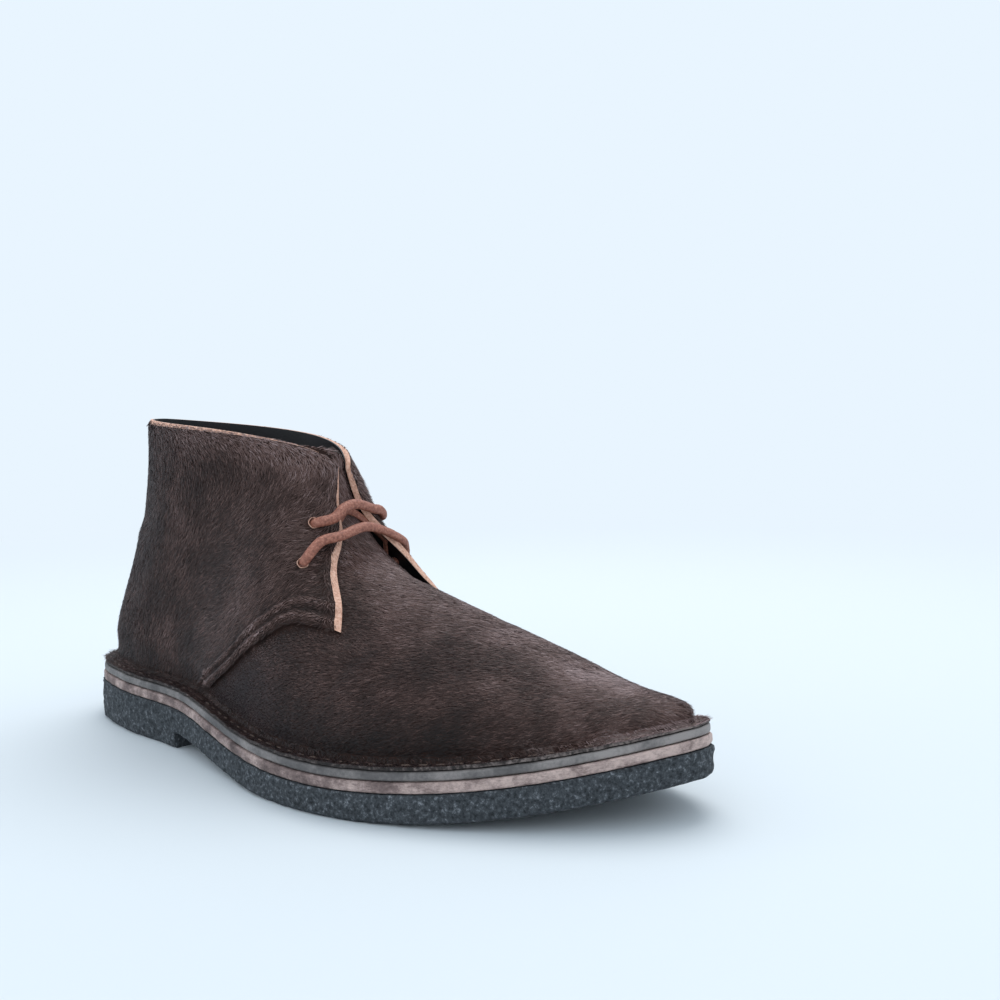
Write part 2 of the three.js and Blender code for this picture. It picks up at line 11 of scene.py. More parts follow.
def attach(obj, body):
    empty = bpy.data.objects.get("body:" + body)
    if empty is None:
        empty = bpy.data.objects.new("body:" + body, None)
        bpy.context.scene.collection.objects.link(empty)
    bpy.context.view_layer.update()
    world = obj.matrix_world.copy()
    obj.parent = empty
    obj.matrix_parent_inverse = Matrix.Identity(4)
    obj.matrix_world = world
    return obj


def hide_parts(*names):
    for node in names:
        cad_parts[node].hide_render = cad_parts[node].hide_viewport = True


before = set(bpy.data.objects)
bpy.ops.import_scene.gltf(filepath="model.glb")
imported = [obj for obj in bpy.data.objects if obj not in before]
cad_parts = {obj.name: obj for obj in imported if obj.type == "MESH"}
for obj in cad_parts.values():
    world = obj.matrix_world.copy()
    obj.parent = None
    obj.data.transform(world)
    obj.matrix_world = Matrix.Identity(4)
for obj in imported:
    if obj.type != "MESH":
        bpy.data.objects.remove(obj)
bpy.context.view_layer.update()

# The camera stands before the toe on the boot's outer side, as high as the collar, and looks back
# along the boot with a slight roll, as in the photograph.
camera_place = Vector((0.36374, -0.30563, 0.13538))
camera_azimuth = math.radians(42.31)
camera_elevation = math.radians(4.53)
camera_roll = math.radians(-1.16)
picture_pixels = 1000
focal_pixels = 1237.13
sensor_width = 36
camera_back = Vector((
    math.sin(camera_azimuth) * math.cos(camera_elevation),
    -math.cos(camera_azimuth) * math.cos(camera_elevation),
    math.sin(camera_elevation),
))
level_right = Vector((math.cos(camera_azimuth), math.sin(camera_azimuth), 0))
level_up = camera_back.cross(level_right)
camera_right = math.cos(camera_roll) * level_right + math.sin(camera_roll) * level_up
camera_up = math.cos(camera_roll) * level_up - math.sin(camera_roll) * level_right
camera = bpy.data.objects.new("camera", bpy.data.cameras.new("camera"))
camera.data.sensor_width = sensor_width
camera.data.lens = sensor_width * focal_pixels / picture_pixels
camera.data.clip_start = 0.01
turned = Matrix((camera_right, camera_up, camera_back)).transposed().to_4x4()
camera.matrix_world = Matrix.Translation(camera_place) @ turned
bpy.context.collection.objects.link(camera)
bpy.context.scene.camera = camera
bpy.context.scene.view_settings.view_transform = "Standard"


def linear(hex_colour):
    """A colour written as sRGB hex, as the linear colour that Blender takes."""
    parts = [int(hex_colour[i:i + 2], 16) / 255 for i in (1, 3, 5)]
    return tuple(p / 12.92 if p <= 0.04045 else ((p + 0.055) / 1.055) ** 2.4 for p in parts) + (1.0,)


def add(tree, kind, settings=None, links=None):
    """Adds a node. Each entry of links is an input's name or number with a socket or a plain value."""
    node = tree.nodes.new(kind)
    for name, value in (settings or {}).items():
        setattr(node, name, value)
    for name, value in (links or {}).items():
        if isinstance(value, bpy.types.NodeSocket):
            tree.links.new(value, node.inputs[name])
        else:
            node.inputs[name].default_value = value
    return node


# The studio: a pale blue-white floor without an end, a broad soft light from above and behind, and
# weak light from the front, so that the shadow is soft and lies close to the sole.
floor_colour = "#d2d8dc"
studio_colour = "#e9f5ff"
studio_strength = 1.0
floor_reach = 9.0
floor_fade = (0.32, 0.95)
lights = {
    "overhead": {"place": (-0.25, 0.55, 1.5), "size": 1.3, "watts": 13, "colour": "#ffffff"},
    "front": {"place": (0.9, -1.3, 0.9), "size": 1.2, "watts": 3, "colour": "#f3f8ff"},
    "heel": {"place": (-1.2, -0.7, 0.7), "size": 0.8, "watts": 2, "colour": "#eef5ff"},
}
world = bpy.data.worlds.new("studio")
bpy.context.scene.world = world
world.use_nodes = True
world.node_tree.nodes.clear()
glow = {"Color": linear(studio_colour), "Strength": studio_strength}
sky = add(world.node_tree, "ShaderNodeBackground", {}, glow)
add(world.node_tree, "ShaderNodeOutputWorld", {}, {"Surface": sky.outputs[0]})
for name, light in lights.items():
    lamp = bpy.data.objects.new(name, bpy.data.lights.new(name, "AREA"))
    lamp.data.shape = "DISK"
    lamp.data.size = light["size"]
    lamp.data.energy = light["watts"]
    lamp.data.color = linear(light["colour"])[:3]
    lamp.location = light["place"]
    lamp.rotation_euler = (-Vector(light["place"])).to_track_quat("-Z", "Y").to_euler()
    bpy.context.collection.objects.link(lamp)
floor_mesh = bpy.data.meshes.new("floor")
corners = [(-floor_reach, -floor_reach, 0), (floor_reach, -floor_reach, 0), (floor_reach, floor_reach, 0),
           (-floor_reach, floor_reach, 0)]
floor_mesh.from_pydata(corners, [], [(0, 1, 2, 3)])
floor = bpy.data.objects.new("floor", floor_mesh)
bpy.context.collection.objects.link(floor)
paper = bpy.data.materials.new("floor_paper")
paper.use_nodes = True
tree = paper.node_tree
tree.nodes.clear()
where = add(tree, "ShaderNodeTexCoord")
away = add(tree, "ShaderNodeVectorMath", {"operation": "LENGTH"}, {0: where.outputs["Object"]})
fade = add(tree, "ShaderNodeMapRange", {"interpolation_type": "SMOOTHSTEP"}, {
    "Value": away.outputs["Value"], "From Min": floor_fade[0], "From Max": floor_fade[1]})
matt = add(tree, "ShaderNodeBsdfPrincipled", {}, {"Base Color": linear(floor_colour), "Roughness": 0.7})
far = add(tree, "ShaderNodeEmission", {}, glow)
both = add(tree, "ShaderNodeMixShader", {}, {
    0: fade.outputs["Result"], 1: matt.outputs[0], 2: far.outputs[0]})
add(tree, "ShaderNodeOutputMaterial", {}, {"Surface": both.outputs[0]})
floor_mesh.materials.append(paper)

# The outsole: plantation crepe, a rubber dyed charcoal, glued under the midsole and ground flush at
# the edge, which leaves it rough and pitted. It rises over the waist and towards the toe.
sole_length = 300
ball_width = 107
heel_width = 73
outsole_thickness = 9.3
heel_rise = 7.2
toe_spring = 14.2
tread_wear = 0.35
joint_gap = 0.3
crepe_colours = ("#25282b", "#4b4f53", "#9ea2a8")
breast_x = 90
crepe_pit = 1.6
crepe_grain = 0.5
outline = {
    "along": [0, 0.04, 0.15, 0.3, 0.433, 0.567, 0.683, 0.8, 0.907, 0.973, 1, 0.973, 0.883, 0.767, 0.65,
              0.517, 0.383, 0.26, 0.15, 0.04],
    "across": [0, -0.356, -0.514, -0.524, -0.531, -0.546, -0.523, -0.393, -0.187, 0.019, 0.196, 0.313,
               0.407, 0.449, 0.397, 0.305, 0.319, 0.446, 0.479, 0.342],
}
profile = {
    "along": [0, 0.27, 0.36, 0.47, 0.58, 0.67, 0.78, 0.88, 1],
    "heel": [1, 0.92, 0.76, 0.27, 0.04, 0, 0, 0, 0],
    "toe": [0, 0, 0, 0, 0, 0.005, 0.12, 0.42, 1],
}


def ease(a, b, value):
    """Goes smoothly from 0 at a to 1 at b."""
    k = np.clip((np.asarray(value, float) - a) / (b - a), 0, 1)
    return k * k * (3 - 2 * k)


def mix(a, b, k):
    return a + (b - a) * k


def read(table, by, column, value):
    """Reads a table's column at a value of another one, on a smooth curve through its rows."""
    xs = np.array(table[by], float)
    ys = np.array(table[column], float)
    end = len(xs) - 1
    value = np.clip(value, xs[0], xs[end])
    i = np.clip(np.searchsorted(xs, value) - 1, 0, end - 1)
    before = np.maximum(np.arange(end + 1) - 1, 0)
    after = np.minimum(np.arange(end + 1) + 1, end)
    slope = (ys[after] - ys[before]) / (xs[after] - xs[before])
    span = xs[i + 1] - xs[i]
    k = (value - xs[i]) / span
    return (ys[i] * (2 * k**3 - 3 * k**2 + 1) + slope[i] * span * (k**3 - 2 * k**2 + k)
            + ys[i + 1] * (3 * k**2 - 2 * k**3) + slope[i + 1] * span * (k**3 - k**2))


def spline(points, count, closed=False):
    """Points and directions on a smooth curve through the given points, which turns no corner wide."""
    points = np.array(points, float)
    if not closed:
        points = np.vstack([2 * points[0] - points[1], points, 2 * points[-1] - points[-2]])
    spans = len(points) if closed else len(points) - 3
    place = np.arange(count) * spans / count if closed else np.linspace(0, spans, count)
    i = np.minimum(place.astype(int), spans - 1)
    k = (place - i)[:, None]
    first = -1 if closed else 0
    a, b, c, d = (points[(i + first + n) % len(points)] for n in range(4))
    steps = [np.sqrt(np.linalg.norm(q - p, axis=1))[:, None] for p, q in ((a, b), (b, c), (c, d))]
    start = ((b - a) / steps[0] - (c - a) / (steps[0] + steps[1]) + (c - b) / steps[1]) * steps[1]
    stop = ((c - b) / steps[1] - (d - b) / (steps[1] + steps[2]) + (d - c) / steps[2]) * steps[1]
    square = -3 * b + 3 * c - 2 * start - stop
    cube = 2 * b - 2 * c + start + stop
    way = start + 2 * square * k + 3 * cube * k**2
    return b + start * k + square * k**2 + cube * k**3, way / np.linalg.norm(way, axis=1)[:, None]


outline_steps = 2400
outline_along = np.array(outline["along"])
outline_widths = mix(heel_width, ball_width, ease(0.2, 0.6, outline_along))
outline_points, outline_ways = spline(
    np.column_stack([outline_along * sole_length, np.array(outline["across"]) * outline_widths]),
    outline_steps, closed=True)
to_frame = np.append(-(outline_points.min(axis=0) + outline_points.max(axis=0)) / 2, 0)


def rails(inset):
    """The outline moved inwards, as its outer (lateral) and inner (medial) side from heel to toe."""
    loop = outline_points + inset * np.column_stack([-outline_ways[:, 1], outline_ways[:, 0]])
    heel = int(np.argmin(loop[:, 0]))
    toe = int(np.argmax(loop[:, 0]))
    pair = []
    for step, steps in ((1, (toe - heel) % outline_steps), (-1, (heel - toe) % outline_steps)):
        rail = loop[(heel + step * np.arange(steps + 1)) % outline_steps]
        lengths = np.append(0, np.cumsum(np.linalg.norm(np.diff(rail, axis=0), axis=1)))
        pair.append(np.column_stack([rail, lengths]))
    return pair


def outsole_top(x):
    return (outsole_thickness + heel_rise * read(profile, "along", "heel", x / sole_length)
            + toe_spring * read(profile, "along", "toe", x / sole_length))


def outsole_bottom(x):
    return np.maximum(0, outsole_top(x) - outsole_thickness - tread_wear)


def weld(points, quads):
    """Joins points that share a place. Gives the points, the faces and each old point's new number."""
    keys = np.round(points + 0.000317, 3)
    _, first, number = np.unique(keys, axis=0, return_index=True, return_inverse=True)
    number = number.ravel()
    return points[first], number[quads], number, first


def normals_of(points, quads):
    """Each point's direction out of the surface."""
    a, b, c, d = (points[quads[:, n]] for n in range(4))
    across = np.cross(c - a, d - b)
    total = np.zeros_like(points)
    for n in range(4):
        np.add.at(total, quads[:, n], across)
    return total / np.maximum(np.linalg.norm(total, axis=1), 1e-12)[:, None]


def grid_quads(rows, columns, start=0, closed=False):
    """Faces of a grid of points that is numbered along its columns first."""
    i = np.arange(rows - 1)[:, None]
    j = np.arange(columns if closed else columns - 1)[None, :]
    k = (j + 1) % columns
    corners = [i * columns + j, i * columns + k, (i + 1) * columns + k, (i + 1) * columns + j]
    return start + np.stack(np.broadcast_arrays(*corners), axis=-1).reshape(-1, 4)


def ring_sides(inset, height, share, stop):
    """The outer and inner side of a ring of the sole's outline, at shares of its length."""
    pair = rails(inset)
    x = mix(pair[0][0, 0], pair[0][-1, 0] if stop is None else stop, share)
    return [np.column_stack([x, np.interp(x, rail[:, 0], rail[:, 1]), height(x)]) for rail in pair]


def sole_layer(rings, stop=None, rows=340, strips=6):
    """A layer of the sole from rings, bottom first: each ring's inset, height and inset under the heel."""
    sections = []
    turn = np.linspace(0, np.pi, rows + 1)
    share = (1 - np.cos(turn)) / 2 if stop is None else 1 - np.cos(turn / 2)
    for inset, height, *heel_inset in rings:
        low, high = ring_sides(inset, height, share, stop)
        if heel_inset:
            forward = ease(breast_x - 2, breast_x + 2, low[:, :1])
            low, high = (mix(heel, rest, forward) for heel, rest in zip(
                ring_sides(heel_inset[0], height, share, stop), (low, high)))
        high[0] = low[0]
        if stop is None:
            high[-1] = low[-1]
        sections.append((low, high))
    share = np.linspace(0, 1, strips + 1)[:, None]
    loops = []
    for low, high in sections:
        breast = mix(low[-1], high[-1], share[1:-1]) if stop is not None else low[:0]
        back = high[-1:0:-1] if stop is not None else high[-2:0:-1]
        loops.append(np.vstack([low, breast, back]))
    count = len(loops[0])
    points = [np.vstack(loops)]
    quads = [grid_quads(len(loops), count, closed=True)]
    for low, high, turned_over in ((*sections[0], True), (*sections[-1], False)):
        cap = mix(low[:, None], high[:, None], share[None, :, 0][..., None])
        faces = grid_quads(rows + 1, strips + 1, sum(len(p) for p in points))
        quads.append(faces if turned_over else faces[:, ::-1])
        points.append(cap.reshape(-1, 3))
    points, quads, _, _ = weld(np.vstack(points), np.vstack(quads))
    return points, quads


def roughen(points, quads, deep, sizes):
    """Pushes a layer's edge in and out level with the floor, by noise of the given sizes."""
    out = normals_of(points, quads)
    out[:, 2] = 0
    amount = np.zeros(len(points))
    for size in sizes:
        amount += [noise.noise(Vector(p) / size) * size for p in points]
    amount *= deep / sum(sizes)
    return points + out * amount[:, None]


def make_piece(name, points, quads, materials, replaced=(), face_materials=None, sharp=40):
    """Makes the mesh of a piece in the shared frame, in metres, and sets it on the boot."""
    mesh = bpy.data.meshes.new(name)
    faces = [tuple(dict.fromkeys(q)) for q in quads.tolist()]
    kept = [n for n, face in enumerate(faces) if len(face) > 2]
    mesh.from_pydata(((points + to_frame) * 0.001).tolist(), [], [faces[n] for n in kept])
    for material in materials:
        mesh.materials.append(material)
    if face_materials is not None:
        mesh.polygons.foreach_set("material_index", np.asarray(face_materials)[kept].astype(np.int32))
    mesh.shade_smooth()
    mesh.set_sharp_from_angle(angle=math.radians(sharp))
    mesh.update()
    made = bpy.data.objects.new(name, mesh)
    bpy.context.collection.objects.link(made)
    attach(made, "root")
    if replaced:
        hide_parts(*replaced)
    return made


def new_material(name):
    """A material with a Principled shader. Gives it with its tree, the shader and the object's places."""
    material = bpy.data.materials.new(name)
    material.use_nodes = True
    material.node_tree.nodes.clear()
    shader = add(material.node_tree, "ShaderNodeBsdfPrincipled")
    add(material.node_tree, "ShaderNodeOutputMaterial", {}, {"Surface": shader.outputs[0]})
    where = add(material.node_tree, "ShaderNodeTexCoord").outputs["Object"]
    return material, material.node_tree, shader, where


def per_metre(size):
    """A texture's scale for a pattern whose marks are this many millimetres apart."""
    return 1000 / size


def grain(tree, where, size, detail, roughness=0.5):
    """Noise with marks that are this many millimetres apart."""
    return add(tree, "ShaderNodeTexNoise", {}, {"Vector": where, "Scale": per_metre(size), "Detail": detail,
                                                "Roughness": roughness}).outputs["Fac"]


def weigh(tree, value, share, rest):
    """A share of a value, added to the rest."""
    node = add(tree, "ShaderNodeMath", {"operation": "MULTIPLY_ADD"}, {0: value, 1: share, 2: rest})
    return node.outputs[0]


def ramp(tree, value, places, colours):
    """Hex colours for a value from 0 to 1, each at its place."""
    node = add(tree, "ShaderNodeValToRGB", {}, {"Fac": value})
    while len(node.color_ramp.elements) < len(places):
        node.color_ramp.elements.new(0.5)
    for element, place, colour in zip(node.color_ramp.elements, places, colours):
        element.position = place
        element.color = linear(colour)
    return node.outputs["Color"]


def dress(tree, shader, colour, height, strength, depth, roughness):
    """Gives a shader its colour, a relief of this depth in millimetres and its roughness."""
    bump = add(tree, "ShaderNodeBump", {}, {
        "Strength": strength, "Distance": depth * 0.001, "Height": height})
    tree.links.new(colour, shader.inputs["Base Color"])
    tree.links.new(bump.outputs[0], shader.inputs["Normal"])
    shader.inputs["Roughness"].default_value = roughness


def paler_at_toe(tree, where, amount):
    """A number that grows from 0 at the ball to this amount at the toe's tip."""
    x = add(tree, "ShaderNodeSeparateXYZ", {}, {0: where}).outputs["X"]
    return add(tree, "ShaderNodeMapRange", {}, {"Value": x, "From Min": 0.07, "From Max": 0.15,
                                                "To Max": amount}).outputs["Result"]


# Ground plantation crepe: matt, mottled by torn crumbs of rubber, with small pale specks
crepe, tree, shader, where = new_material("crepe_rubber_ground")
crumb = grain(tree, where, crepe_pit, 6.0, 0.75)
pit = add(tree, "ShaderNodeTexVoronoi", {}, {"Vector": where, "Scale": per_metre(crepe_pit)})
height = weigh(tree, pit.outputs["Distance"], 0.6, crumb)
height = weigh(tree, grain(tree, where, crepe_grain, 3.0), 0.3, height)
dress(tree, shader, ramp(tree, crumb, (0.36, 0.56, 0.74), crepe_colours), height, 0.9, 0.7, 0.86)
shader.inputs["Specular IOR Level"].default_value = 0.25
outsole_rings = [(1.2, outsole_bottom, 0), (0.45, lambda x: outsole_bottom(x) + 0.4, 0),
                 (0, lambda x: outsole_bottom(x) + 1.2)]
for share in np.linspace(0.12, 0.88, 11):
    outsole_rings.append((0, lambda x, k=share: mix(outsole_bottom(x) + 1.2, outsole_top(x) - 0.5, k)))
outsole_rings += [(0, lambda x: outsole_top(x) - 0.5), (0.5, outsole_top)]
points, quads = sole_layer(outsole_rings)
points = roughen(points, quads, 1.0, (3.6, 1.7))
make_piece("outsole_crepe", points, quads, [crepe], ["outsole"])

# The heel lift: one more layer of the same crepe under the heel, cut straight across at the breast
# and bevelled up at the back, where a heel strikes first. Both layers are ground together, so that
# no joint shows.
heel_bevel_length = 17
heel_bevel_height = 4.2


def lift_top(x):
    return outsole_bottom(x) + 0.1


def lift_bottom(x):
    return heel_bevel_height * np.maximum(0, 1 - x / heel_bevel_length)


lift_rings = [(1, lift_bottom)]
for share in np.linspace(0.15, 1, 8):
    lift_rings.append((0, lambda x, k=share: mix(lift_bottom(x), lift_top(x), k)))
points, quads = sole_layer(lift_rings, stop=breast_x, rows=220)
points = roughen(points, quads, 1.0, (3.6, 1.7))
make_piece("heel_lift_crepe", points, quads, [crepe], ["heel_lift"])

# The midsole: one layer of vegetable-tanned sole leather. Only its cut edge shows, a pinkish line
# with the fibres of the hide standing out.
midsole_thickness = 3.7
midsole_inset = 0.4
edge_round = 0.9
midsole_colours = ("#4b3c39", "#806d69", "#c6afa7")
leather_fibre = 0.45


def slab_rings(inset, bottom, top, steps=3):
    """Rings of a layer of even thickness with rounded edges."""
    rings = []
    for turn in np.linspace(0, np.pi / 2, 5):
        rings.append((inset + edge_round * (1 - math.sin(turn)),
                      lambda x, t=turn: bottom(x) + edge_round * (1 - math.cos(t))))
    for share in np.linspace(0, 1, steps + 2)[1:-1]:
        rings.append((inset, lambda x, k=share: mix(bottom(x) + edge_round, top(x) - edge_round, k)))
    for turn in np.linspace(np.pi / 2, 0, 5):
        rings.append((inset + edge_round * (1 - math.sin(turn)),
                      lambda x, t=turn: top(x) - edge_round * (1 - math.cos(t))))
    return rings


def midsole_bottom(x):
    return outsole_top(x) + joint_gap


def midsole_top(x):
    return midsole_bottom(x) + midsole_thickness


sole_leather, tree, shader, where = new_material("sole_leather_cut_edge")
flat = add(tree, "ShaderNodeMapping", {}, {"Vector": where, "Scale": (1.0, 1.0, 2.6)}).outputs[0]
fibre = grain(tree, flat, leather_fibre * 3, 5.0, 0.8)
value = weigh(tree, fibre, 0.55, grain(tree, where, 9, 5.0, 0.65))
value = weigh(tree, value, 1.0, paler_at_toe(tree, where, 0.2))
dress(tree, shader, ramp(tree, value, (0.57, 0.77, 0.99), midsole_colours), fibre, 0.8, 0.4, 0.75)
points, quads = sole_layer(slab_rings(midsole_inset, midsole_bottom, midsole_top))
points = roughen(points, quads, 0.7, (5.0, 1.6))
make_piece("midsole_leather", points, quads, [sole_leather], ["midsole"])

# The runner: a strip of smooth grey leather that the flange is stitched to. Its edge is rounded, and a
# thin dark line parts it from the midsole.
runner_thickness = 3.1
runner_inset = 0.9
runner_colours = ("#3f3c3c", "#5d5958", "#8d8683")


def runner_bottom(x):
    return midsole_top(x) + joint_gap


def runner_top(x):
    return runner_bottom(x) + runner_thickness


runner_leather, tree, shader, where = new_material("runner_leather_finished")
scuff = grain(tree, where, 1.3, 5.0, 0.7)
value = weigh(tree, scuff, 0.45, grain(tree, where, 14, 4.0))
value = weigh(tree, value, 1.0, paler_at_toe(tree, where, 0.2))
dress(tree, shader, ramp(tree, value, (0.52, 0.72, 0.97), runner_colours), scuff, 0.4, 0.2, 0.55)
points, quads = sole_layer(slab_rings(runner_inset, runner_bottom, runner_top))
points = roughen(points, quads, 0.35, (8.0, 2.0))
make_piece("runner_strip", points, quads, [runner_leather], ["runner"])

# The insole: a board under a sock of the same near-black lining leather, laid in after lasting.
insole_thickness = 2.4
flange_inset = 1.4
flange_reach = 5.4
flange_gap = 0.42
wall = 2.4
lining_colours = ("#0d0b0d", "#1d191b")
lining_grain = 0.8


def insole_bottom(x):
    return runner_top(x) + joint_gap


lining_leather, tree, shader, where = new_material("lining_leather_smooth")
pebble = add(tree, "ShaderNodeTexVoronoi", {}, {"Vector": where, "Scale": per_metre(lining_grain)})
colour = ramp(tree, grain(tree, where, 20, 3.0), (0.35, 0.7), lining_colours)
dress(tree, shader, colour, pebble.outputs["Distance"], 0.3, 0.1, 0.5)
points, quads = sole_layer(slab_rings(flange_inset + flange_reach + wall + joint_gap, insole_bottom,
                                      lambda x: insole_bottom(x) + insole_thickness, steps=1), rows=200)
make_piece("insole_sock", points, quads, [lining_leather], ["insole"])

# The vamp: the front of the hide, drawn over the last and turned out round the sole as a flange. It
# goes on under the facings as the tongue. A place on the last is at, its share of the way round the
# sole from heel to toe, and rise, from the flange (below 0) to the topline or ridge (1).
front_at = 0.45
ridge_end_at = 0.9
instep_height = 54.5
collar_back_x = 26.5
collar_length = 121.5
collar_half = {-1: 29.5, 1: 25}
collar_back_height = 131
collar_front_height = 113
back_pinch = {-1: 0.42, 1: 0.25}
front_pinch = {-1: 0.05, 1: 0.4}
topline_bow = {-1: 3, 1: 1.6}
counter_height = 58
counter_step = 1.6
quarter_step = 1.4
tongue_gap = 1.35
tongue_rise = 4
tongue_start = 0.34
throat_blend = 0.05
vamp_overlap = 0.045
throat_low = 0.62
tongue_full = 0.85
ragged_deep = 0.45
hide_thickness = 2.35
ridge = {
    "at": [0.45, 0.5, 0.55, 0.6, 0.65, 0.7, 0.75, 0.8, 0.85, 0.9],
    "x": [0.4933, 0.502, 0.528, 0.585, 0.653, 0.713, 0.77, 0.823, 0.867, 0.9],
    "y": [0, 0.005, 0.022, 0.052, 0.084, 0.107, 0.126, 0.145, 0.159, 0.168],
    "rise": [1, 1, 0.985, 0.95, 0.805, 0.692, 0.575, 0.448, 0.325, 0.24],
    "shaft": [1, 0.59, 0.27, 0, 0, 0, 0, 0, 0, 0],
}
walls = {
    "at": [0, 0.1, 0.25, 0.45, 0.6, 0.75, 0.9, 1],
    -1: [-0.02, -0.1, -0.03, 0, 0, 0.02, 0.02, 0],
    1: [-0.02, -0.03, 0.01, 0.04, 0.12, 0.08, 0.04, 0],
    "lift": [0.33, 0.33, 0.32, 0.3, 0.25, 0.26, 0.26, 0.22],
    "reach": [0.45, 0.5, 0.36, 0.3, 0.32, 0.36, 0.42, 0.45],
}
seam = {
    -1: {"at": [0.36, 0.42, 0.48, 0.54, 0.6], "rise": [0, 0.14, 0.29, 0.44, 0.53]},
    1: {"at": [0.42, 0.47, 0.52, 0.57, 0.62], "rise": [0, 0.14, 0.27, 0.38, 0.46]},
}
feather_rails = dict(zip((-1, 1), rails(flange_inset + flange_reach)))
flange_rails = dict(zip((-1, 1), rails(flange_inset)))


def unit(vectors):
    return vectors / np.maximum(np.linalg.norm(vectors, axis=-1, keepdims=True), 1e-9)


def flange_top(x):
    return runner_top(x) + flange_gap + wall


def ridge_point(at):
    stop = np.minimum(at, ridge_end_at)
    x = read(ridge, "at", "x", stop) * sole_length
    low = flange_top(x) + instep_height * read(ridge, "at", "rise", stop)
    z = mix(low, collar_front_height, read(ridge, "at", "shaft", stop))
    return np.stack([x, read(ridge, "at", "y", stop) * ball_width, z], axis=-1)


def crest_point(side, at):
    turn = np.pi * np.minimum(at / front_at, 1)
    pinch = np.where(turn < np.pi / 2, back_pinch[side], front_pinch[side]) * np.cos(turn) ** 2
    collar = np.stack([
        collar_back_x + collar_length * (1 - np.cos(turn)) / 2,
        side * collar_half[side] * np.sin(turn) * (1 - pinch),
        mix(collar_back_height, collar_front_height, (turn / np.pi) ** topline_bow[side]),
    ], axis=-1)
    return np.where((at >= front_at)[..., None], ridge_point(np.maximum(at, front_at)), collar)


def crest_way(side, at, foot, crest):
    """The direction in which the wall reaches its crest: up at the shaft, and over the ridge beyond."""
    step = 0.01
    up = np.zeros_like(crest)
    up[..., 2] = 1
    place = np.minimum(ridge_end_at, np.maximum(at, front_at) + step)
    fall = unit(ridge_point(place) - ridge_point(place - step))
    across = crest - foot
    across[..., 0] *= ease(0.78, 0.96, at)
    across[..., 2] = fall[..., 2] / fall[..., 0] * across[..., 0]
    climb = unit(mix(up, -fall, ease(front_at - 0.02, front_at + 0.1, at)[..., None]))
    way = unit(mix(climb, unit(across), ease(front_at - 0.2, front_at + 0.12, at)[..., None]))
    return np.where((at <= front_at - 0.2)[..., None], up, way)


def station(side, at):
    """The wall's section at a place of the sole: its foot, two handles, crest and the way outwards."""
    at = np.asarray(at, float)
    places = []
    for rail in (feather_rails[side], flange_rails[side]):
        length = at * rail[-1, 2]
        places.append([np.interp(length, rail[:, 2], rail[:, n]) for n in (0, 1)])
    (x, y), (edge_x, edge_y) = places
    foot = np.stack([x, y, flange_top(x) + edge_round], axis=-1)
    edge = np.stack([edge_x, edge_y, flange_top(edge_x)], axis=-1)
    out = edge - foot
    out[..., 2] = 0
    out = unit(out)
    crest = crest_point(side, at)
    chord = np.linalg.norm(crest - foot, axis=-1)
    low = foot + out * (read(walls, "at", side, at) * chord)[..., None]
    low[..., 2] += read(walls, "at", "lift", at) * chord
    high = crest - crest_way(side, at, foot, crest) * (read(walls, "at", "reach", at) * chord)[..., None]
    return {"foot": foot, "low": low, "high": high, "crest": crest, "out": out, "edge": edge, "chord": chord}


def last_point(side, at, rise):
    """A place on the last. Below rise 0 it goes round the fillet (to -1) and out over the flange (to -2)."""
    at, rise = np.broadcast_arrays(np.asarray(at, float), np.asarray(rise, float))
    s = station(side, at)
    k = np.clip(rise, 0, 1)[..., None]
    up = ((1 - k) ** 3 * s["foot"] + 3 * k * (1 - k) ** 2 * s["low"] + 3 * k**2 * (1 - k) * s["high"]
          + k**3 * s["crest"])
    bulge = (counter_step * ease(0.24, 0.12, at) * ease(0, 0.2, rise)
             * ease(counter_height + 5, counter_height - 5, up[..., 2] - flange_top(up[..., 0])))
    up = up + s["out"] * bulge[..., None]
    inner = s["foot"] + s["out"] * edge_round
    inner[..., 2] = flange_top(inner[..., 0])
    bend = np.clip(rise + 1, 0, 1)[..., None]
    corner = s["foot"].copy()
    corner[..., 2] = inner[..., 2]
    fillet = (1 - bend) ** 2 * inner + 2 * bend * (1 - bend) * corner + bend**2 * s["foot"]
    flange = mix(s["edge"], inner, np.clip(rise + 2, 0, 1)[..., None])
    return np.where((rise >= 0)[..., None], up, np.where((rise >= -1)[..., None], fillet, flange))


def seam_at(side, rise):
    """Where the quarter's lower edge crosses the wall at a rise."""
    return read(seam[side], "rise", "at", rise)


def corner_at(side):
    return seam[side]["at"][-1]


def corner_rise(side):
    return seam[side]["rise"][-1]


ridge_rear = (corner_at(-1) + corner_at(1)) / 2 - vamp_overlap


def vamp_rear(side, rise):
    """The vamp's hidden rear edge: behind the seam, and then over to the middle of the throat."""
    low = seam_at(side, np.maximum(rise, 0)) - vamp_overlap
    throat = mix(corner_at(side) - vamp_overlap, ridge_rear, ease(throat_low, 1, rise))
    return np.where(rise >= corner_rise(side), throat, low)


facing = {
    "climb": [0, 0.2, 0.45, 0.7, 0.84, 0.94, 0.985, 1],
    -1: [0.6, 0.588, 0.562, 0.545, 0.525, 0.474, 0.428, 0.39],
    1: [0.6, 0.578, 0.543, 0.5, 0.462, 0.42, 0.38, 0.345],
}


def facing_at(side, climb):
    """Where the quarter's front edge, the facing, lies at a climb from its lower corner to the topline."""
    return read(facing, "climb", side, climb) - facing[side][0] + corner_at(side)


def wander(points, size, seed):
    """Slow noise from about -1 to 1 at each of the points, with features of this many millimetres."""
    flat_points = points.reshape(-1, 3) / size + seed
    return np.array([noise.noise(Vector(p)) for p in flat_points]).reshape(points.shape[:-1]) * 1.6


